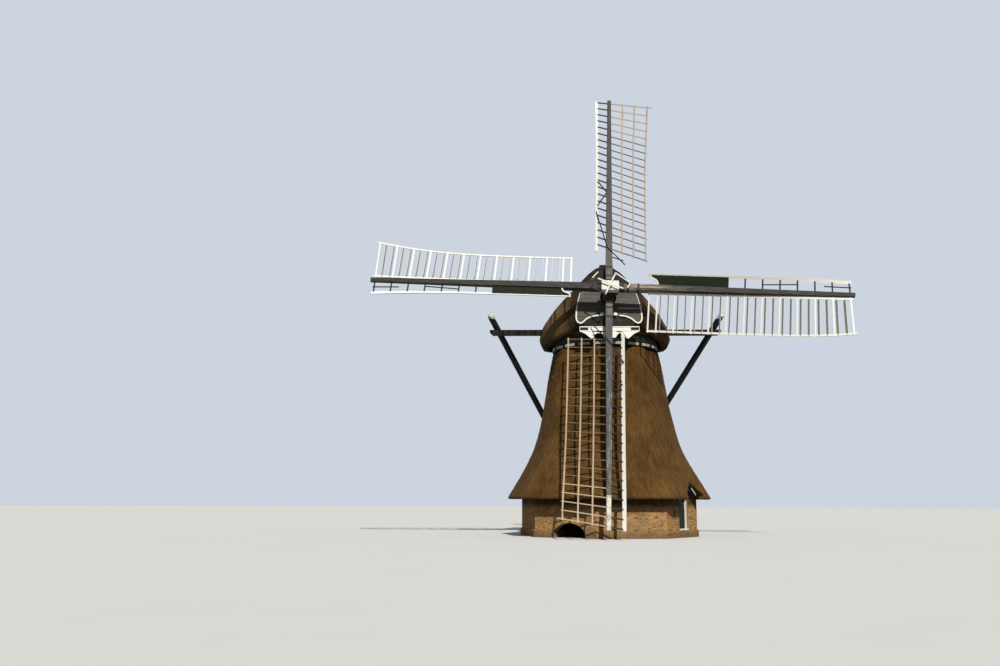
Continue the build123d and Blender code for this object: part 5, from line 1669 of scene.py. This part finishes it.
dark_bolts, pale_bolts = Pile(), Pile()
for quarter in range(4):
    sail = sail_plane(quarter)
    for out in CLOTH_BARS if quarter % 2 else SHUTTER_BARS:
        width, depth = stock_size(out)
        facing = blade_front(quarter, out)
        for sign in (-1, 1):
            bolt(dark_bolts, sail @ Vector((out, sign * width * STOCK_BOLT_SHARE, depth / 2)), AHEAD, 0.015)
        bolt(pale_bolts, on_blade(quarter, out, *EDGE_BOLT), facing, 0.013, 0.014)
        for across in CLOTH_LATHS if quarter % 2 else SHUTTER_LATHS:
            bolt(pale_bolts, on_blade(quarter, out, -across, LATH_BOLT), facing, 0.010, 0.009)
dark_bolts.piece("stock_bolts", "rotor", "bracket_iron", black_iron)
pale_bolts.piece("sail_bolts", "rotor", "white_iron", white_iron)

# %% [markdown]
# ## The cloth sails: laths and bars
# A lattice of long laths and short bars carries the cloth. The bars are painted darker than the laths,
# as painted shade, except the last few near the tip, which take the laths' pale colour. Each lath here is
# one twisted timber: a small chamfered section is set at every bar, turned with the sail, and the
# sections are skinned. Each bar is a straight block let into the stock.

# %% Frame the cloth sails
EDGE_ACROSS, EDGE_WIDE, EDGE_DEEP, EDGE_LEAN = 0.62, 0.16, 0.034, 18
LATH_WIDE, LATH_DEEP, BAR_WIDE, BAR_DEEP = 0.065, 0.034, 0.045, 0.028
OVERRUN, LET_IN = 0.06, 0.01
LONG_BAR, BAR_UNEVEN, PALE_BEYOND = 0.15, 0.015, 8.7


def twisted_timber(pile, quarter, stations, across, wide, deep, lean=0.0, chamfer=0.005, tint=0.5):
    """A timber along a sail that turns with it, with a chamfered section."""
    half, rise = wide / 2, deep / 2
    section = [(chamfer - half, -rise), (half - chamfer, -rise), (half, chamfer - rise),
               (half, rise - chamfer), (half - chamfer, rise), (chamfer - half, rise),
               (-half, rise - chamfer), (-half, chamfer - rise)]
    turn = Matrix.Rotation(math.radians(lean), 2)
    spots = [turn @ Vector(corner) for corner in section]
    rings = [[on_blade(quarter, out, across + spot.x, spot.y) for spot in spots] for out in stations]
    skin(pile, rings, tint)


laths, bars_in_painted_shade, pale_bars = Pile(), Pile(), Pile()
for quarter in CLOTH_SAILS:
    stations = [CLOTH_BARS[0] - OVERRUN, *CLOTH_BARS, CLOTH_BARS[-1] + OVERRUN]
    for across in CLOTH_LATHS:
        twisted_timber(laths, quarter, stations, -across, LATH_WIDE, LATH_DEEP, tint=draw.uniform(0, 1))
    for out in CLOTH_BARS:
        extra = LONG_BAR if out == CLOTH_BARS[-1] else draw.uniform(-BAR_UNEVEN, BAR_UNEVEN)
        near, far = stock_size(out)[0] / 2 - LET_IN, CLOTH_LATHS[-1] + OVERRUN + extra
        # the darker bars are painted shade; the last ones keep the laths' colour
        pile = pale_bars if out > PALE_BEYOND else bars_in_painted_shade
        block_on(pile, blade_plane(quarter, out), (-(near + far) / 2, 0, 0), (far - near, BAR_DEEP, BAR_WIDE),
                 0.004, draw.uniform(0, 1))
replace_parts(laths.piece("sail_laths", "rotor", "sail_wood", lath_wood), "cloth_lattices")
bars_in_painted_shade.piece("sail_bars", "rotor", "sail_wood", bar_shade_finish)
pale_bars.piece("sail_end_bars", "rotor", "sail_wood", lath_wood)

# %% [markdown]
# ## The leading edges: brackets and heels
# Flat iron brackets hold the leading edge off the stock, one at each bar. The white edge runs on past
# its last bracket to a short heel near the hub, a twisted timber of two stations.

# %% Hold the leading edges
BRACKET_WIDE, BRACKET_DEEP = 0.062, 0.034
HEEL_STARTS, EDGE_STARTS = (1.68, 1.87), (1.80, 2.19)   # from the hub: shutter sails, cloth sails
HEEL_LAP, HEEL_OVER = 0.02, 0.002

brackets, heels = Pile(), Pile()
for quarter in range(4):
    for out in CLOTH_BARS if quarter % 2 else SHUTTER_BARS:
        near, far = stock_size(out)[0] / 2 - LET_IN, EDGE_ACROSS - EDGE_WIDE / 2 + EDGE_DEEP
        block_on(brackets, blade_plane(quarter, out), ((near + far) / 2, 0, 0),
                 (far - near, BRACKET_DEEP, BRACKET_WIDE))
    stations = [HEEL_STARTS[quarter % 2], EDGE_STARTS[quarter % 2] + HEEL_LAP]
    wide, deep = EDGE_WIDE + HEEL_OVER, EDGE_DEEP + HEEL_OVER
    twisted_timber(heels, quarter, stations, EDGE_ACROSS, wide, deep, EDGE_LEAN)
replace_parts(brackets.piece("edge_brackets", "rotor", "bracket_iron", black_iron), "brackets")
heels.piece("edge_heels", "rotor", "white_wood", edge_white)

# %% [markdown]
# ## The cloth sails: struts and stays
# On the cloth sails a pair of iron struts braces the leading edge against the stock, and a long stay
# runs from it over the stock to the inner bar, where the rolled cloth is tied in a storm. The points of
# a stay are given by distance out and across, so that it keeps to the twist.

# %% Brace the cloth sails
STRUT_WIDE, STRUT_THICK = 0.058, 0.030
STRUT_FOOT, STRUT_TOPS, STRUT_FRONT, FACING_OUT = (5.17, 0.13), (5.6, 4.3), 0.045, 5.2
STAYS = {1: (3.92, 2.12, 1.66), 3: (3.36, 2.44, 1.50)}     # by sail: outer end, over the stock, inner end
STAY_RADIUS = 0.025
STAY_OVER = ((0.12, 0.10), (-0.10, -0.08))                # out and across, where it passes the stock
INNER_BAR, INNER_BAR_END = 1.86, -0.72

struts, stays = Pile(), Pile()
for quarter, (stay_end, stay_over, stay_start) in STAYS.items():
    facing = blade_front(quarter, FACING_OUT)
    foot = on_blade(quarter, *STRUT_FOOT, STRUT_FRONT)
    for out in STRUT_TOPS:
        top = on_blade(quarter, out, EDGE_ACROSS - 0.03, STRUT_FRONT)
        beam(struts, top, foot, STRUT_WIDE, STRUT_THICK, facing)
    sail, front = sail_plane(quarter), stock_size(stay_over)[1] / 2 + 0.026
    over = [sail @ Vector((stay_over + out, across, front)) for out, across in STAY_OVER]
    rod(stays, [on_blade(quarter, stay_end, EDGE_ACROSS + 0.05, 0.055), *over,
                on_blade(quarter, stay_start, -0.78, 0.03)], STAY_RADIUS)
    beam(struts, on_blade(quarter, INNER_BAR, 0), on_blade(quarter, INNER_BAR, INNER_BAR_END), 0.045, 0.028,
         facing)
struts.piece("cloth_struts", "rotor", "bracket_iron", black_iron)
stays.piece("cloth_stays", "rotor", "bracket_iron", black_iron)

# %% [markdown]
# ## The shutter sails: facings and rods
# The shutters open together, pulled by rods between the brackets. The frames round them are broad
# white timbers, so each bar gets a facing and each lath a sleeve that covers the plain packed one.

# %% Face the frames and run the shutter rods
ROD_ENDS = {0: (0.39, 0.33), 2: (0.30, 0.42)}            # how far across each rod starts and ends
ROD_RADIUS, ROD_FRONT, LONG_ROD = 0.026, 0.03, ((10.37, 9.2), 0.35)
FACING_WIDE, FACING_DEEP, FACING_SUNK = 0.070, 0.012, 0.001
SLEEVE_WIDE, SLEEVE_DEEP, SLEEVE_START, SLEEVE_END = 0.085, 0.038, 0.395, 0.10
FIRST_FACING = 1.715

facings, pulls = Pile(), Pile()
near, far = SHUTTER_LATHS[0], SHUTTER_LATHS[1] + OVERRUN
facing_front = BAR_DEEP / 2 + FACING_DEEP / 2 - FACING_SUNK
stations = [SHUTTER_BARS[0] - SLEEVE_START, *SHUTTER_BARS, SHUTTER_BARS[-1] + SLEEVE_END]
for quarter in SHUTTER_SAILS:
    for out in (FIRST_FACING, *SHUTTER_BARS):
        block_on(facings, blade_plane(quarter, out), (-(near + far) / 2, facing_front, 0),
                 (far - near, FACING_DEEP, FACING_WIDE))
    for across in SHUTTER_LATHS:
        twisted_timber(facings, quarter, stations, -across, SLEEVE_WIDE, SLEEVE_DEEP)
    rod(pulls, [on_blade(quarter, out, LONG_ROD[1], ROD_FRONT) for out in LONG_ROD[0]], ROD_RADIUS)
    rod(pulls, [on_blade(quarter, SHUTTER_BARS[bar], across, ROD_FRONT)
                for bar, across in zip((8, 6), ROD_ENDS[quarter])], ROD_RADIUS)
facings.piece("frame_facings", "rotor", "white_wood", edge_white)
pulls.piece("shutter_rods", "rotor", "bracket_iron", black_iron)

# %% [markdown]
# ## The shutter sails: wind boards
# Near the hub the wind boards close the gap between stock and leading edge. Each is three dark strakes,
# and their inner end is an ogee with a white edge. Each strake is a twisted box through many stations,
# so the ogee comes out smooth.

# %% Lay the wind boards
BOARD_FRONT, BOARD_DEEP, BOARD_END = 0.038, 0.020, 5.1
OGEE = [(0.10, 2.08), (0.20, 2.045), (0.30, 2.015), (0.38, 1.97), (0.44, 1.86), (0.50, 1.745), (0.56, 1.695),
        (0.62, 1.68)]                   # across the board, and how far out it starts there
STRAKES = [(0.135, 0.290, 0.0), (0.286, 0.448, 0.005), (0.444, 0.612, 0.0)]      # low, high, lift
STRAKE_STEPS, STRAKE_COLUMNS, STRAKE_CROWD = 24, 6, 1.4
OGEE_SPAN, OGEE_STEPS, OGEE_INSET, OGEE_SEAT, OGEE_OUT = (0.13, 0.612), 20, 0.03, 0.006, 2.0

strakes, ogees = Pile(), Pile()
for quarter in SHUTTER_SAILS:
    for low, high, lift in STRAKES:
        columns = np.linspace(low, high, STRAKE_COLUMNS).tolist()
        front, back = BOARD_FRONT + lift, BOARD_FRONT + lift - BOARD_DEEP
        outline = [(across, front) for across in columns] + [(across, back) for across in columns[::-1]]
        rings = []
        for step in range(STRAKE_STEPS + 1):
            share = (step / STRAKE_STEPS) ** STRAKE_CROWD
            outs = [start + (BOARD_END - start) * share for start in (read_off(OGEE, x) for x, _ in outline)]
            rings.append([on_blade(quarter, out, x, proud) for out, (x, proud) in zip(outs, outline)])
        skin(strakes, rings, draw.uniform(0, 1))
    path = [on_blade(quarter, read_off(OGEE, across) + OGEE_INSET, across, BOARD_FRONT - OGEE_SEAT)
            for across in np.linspace(*OGEE_SPAN, OGEE_STEPS).tolist()]
    ribbon(ogees, path[::-1], blade_front(quarter, OGEE_OUT), 0.065, 0.018, 0.004)
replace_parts(strakes.piece("wind_strakes", "rotor", "green_wood", green_level), "wind_boards")
ogees.piece("wind_ogees", "rotor", "white_wood", white_trim)

# %% [markdown]
# ## The spider's links
# A cross of arms in front of the poll end, the spider, works the shutters of both sails. From two of
# its tips a link runs to a crank on the stock. Each link is two flat beams, with a bolt at each joint.

# %% Link the spider
SPIDER_FRONT, SPIDER_TURN, SPIDER_ARM = 0.39, 65, 0.55
CRANK, LEVER = (0.86, 0.13, 0.26), (0.74, -0.10, 0.24)   # on the plane of the sail
LINK_WIDE, LINK_THICK = 0.058, 0.018

# the far link is black where the near one is white: painted shade
near_links, far_links_in_painted_shade = Pile(), Pile()
for sign, quarter, pile in ((1, 0, near_links), (-1, 2, far_links_in_painted_shade)):
    arm = toward(SPIDER_TURN) * SPIDER_ARM * sign + UP * 0.02
    tip = cap_plane(-SPIDER_FRONT) @ arm
    crank, lever = (sail_plane(quarter) @ Vector(spot) for spot in (CRANK, LEVER))
    for start, end in ((tip, crank), (crank, lever)):
        beam(pile, start, end, LINK_WIDE, LINK_THICK, AHEAD)
    for spot in (tip, crank, lever):
        bolt(pile, spot + AHEAD * 0.008, AHEAD, 0.024, 0.014)
near_links.piece("spider_links", "rotor", "white_iron", white_iron)
far_links_in_painted_shade.piece("far_spider_links_painted_shade", "rotor", "white_iron", black_iron)

# %% [markdown]
# ## The tail: the wheel's pegs
# The cap is turned with the wheel at the foot of the tail pole. Wooden pegs through its rim give a
# grip. Each is a rod along a spoke's line, at a turn between two spokes.

# %% Peg the wheel
WHEEL_HEIGHT, WHEEL_RADIUS, PEG_OUT, PEG_IN = 1.35, 0.56, 0.13, 0.075
PEGS, PEG_RADIUS, RIM_SET = 12, 0.016, 0.03

rim_middle = Vector((0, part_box("winch_wheel")[1][1] - RIM_SET, WHEEL_HEIGHT))
pegs = Pile()
for number in range(PEGS):
    turn = 2 * math.pi * (number + 0.5) / PEGS
    spoke = Vector((math.cos(turn), 0, math.sin(turn)))
    rod(pegs, [rim_middle + spoke * (WHEEL_RADIUS - PEG_IN), rim_middle + spoke * (WHEEL_RADIUS + PEG_OUT)],
        PEG_RADIUS)
pegs.piece("wheel_pegs", "cap", "oak", oak_post)

# %% [markdown]
# ## The tail: straps
# Iron bands along the tail pole keep it from splitting. The packed pole's box gives its two ends,
# and each band is four plates set square to the line between them.

# %% Strap the tail pole
TAIL_SIDE = 0.28
STRAP_PLACES = (0.95, 1.75, 3.4, 5.6, 7.8, 8.7)
BAND_WIDE, PLATE_THICK, PLATE_OVER, PLATE_SEAT = 0.07, 0.009, 0.02, 0.004

pole_low, pole_high = (Vector(corner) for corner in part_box("tail_pole"))
foot = Vector((0, pole_high.y - TAIL_SIDE / 2, pole_low.z))
head = Vector((0, pole_low.y + TAIL_SIDE / 2, pole_high.z))
pole_run = (head - foot).normalized()
pole_front = ACROSS.cross(pole_run)
pole_deep = TAIL_SIDE * abs(pole_run.z)
side_plate = (PLATE_THICK, pole_deep + PLATE_OVER, BAND_WIDE)
front_plate = (TAIL_SIDE + PLATE_OVER, PLATE_THICK, BAND_WIDE)
plates = ((ACROSS, TAIL_SIDE / 2, side_plate), (pole_front, pole_deep / 2, front_plate))
straps = Pile()
for height in STRAP_PLACES:
    middle = foot + pole_run * ((height - foot.z) / pole_run.z)
    for sign in (-1, 1):
        for side, half, size in plates:
            spot = middle + side * sign * (half + PLATE_SEAT)
            block(straps, spot, size, (ACROSS, pole_front, pole_run), 0.003)
straps.piece("tail_straps", "cap", "cast_iron", black_iron)

# %% [markdown]
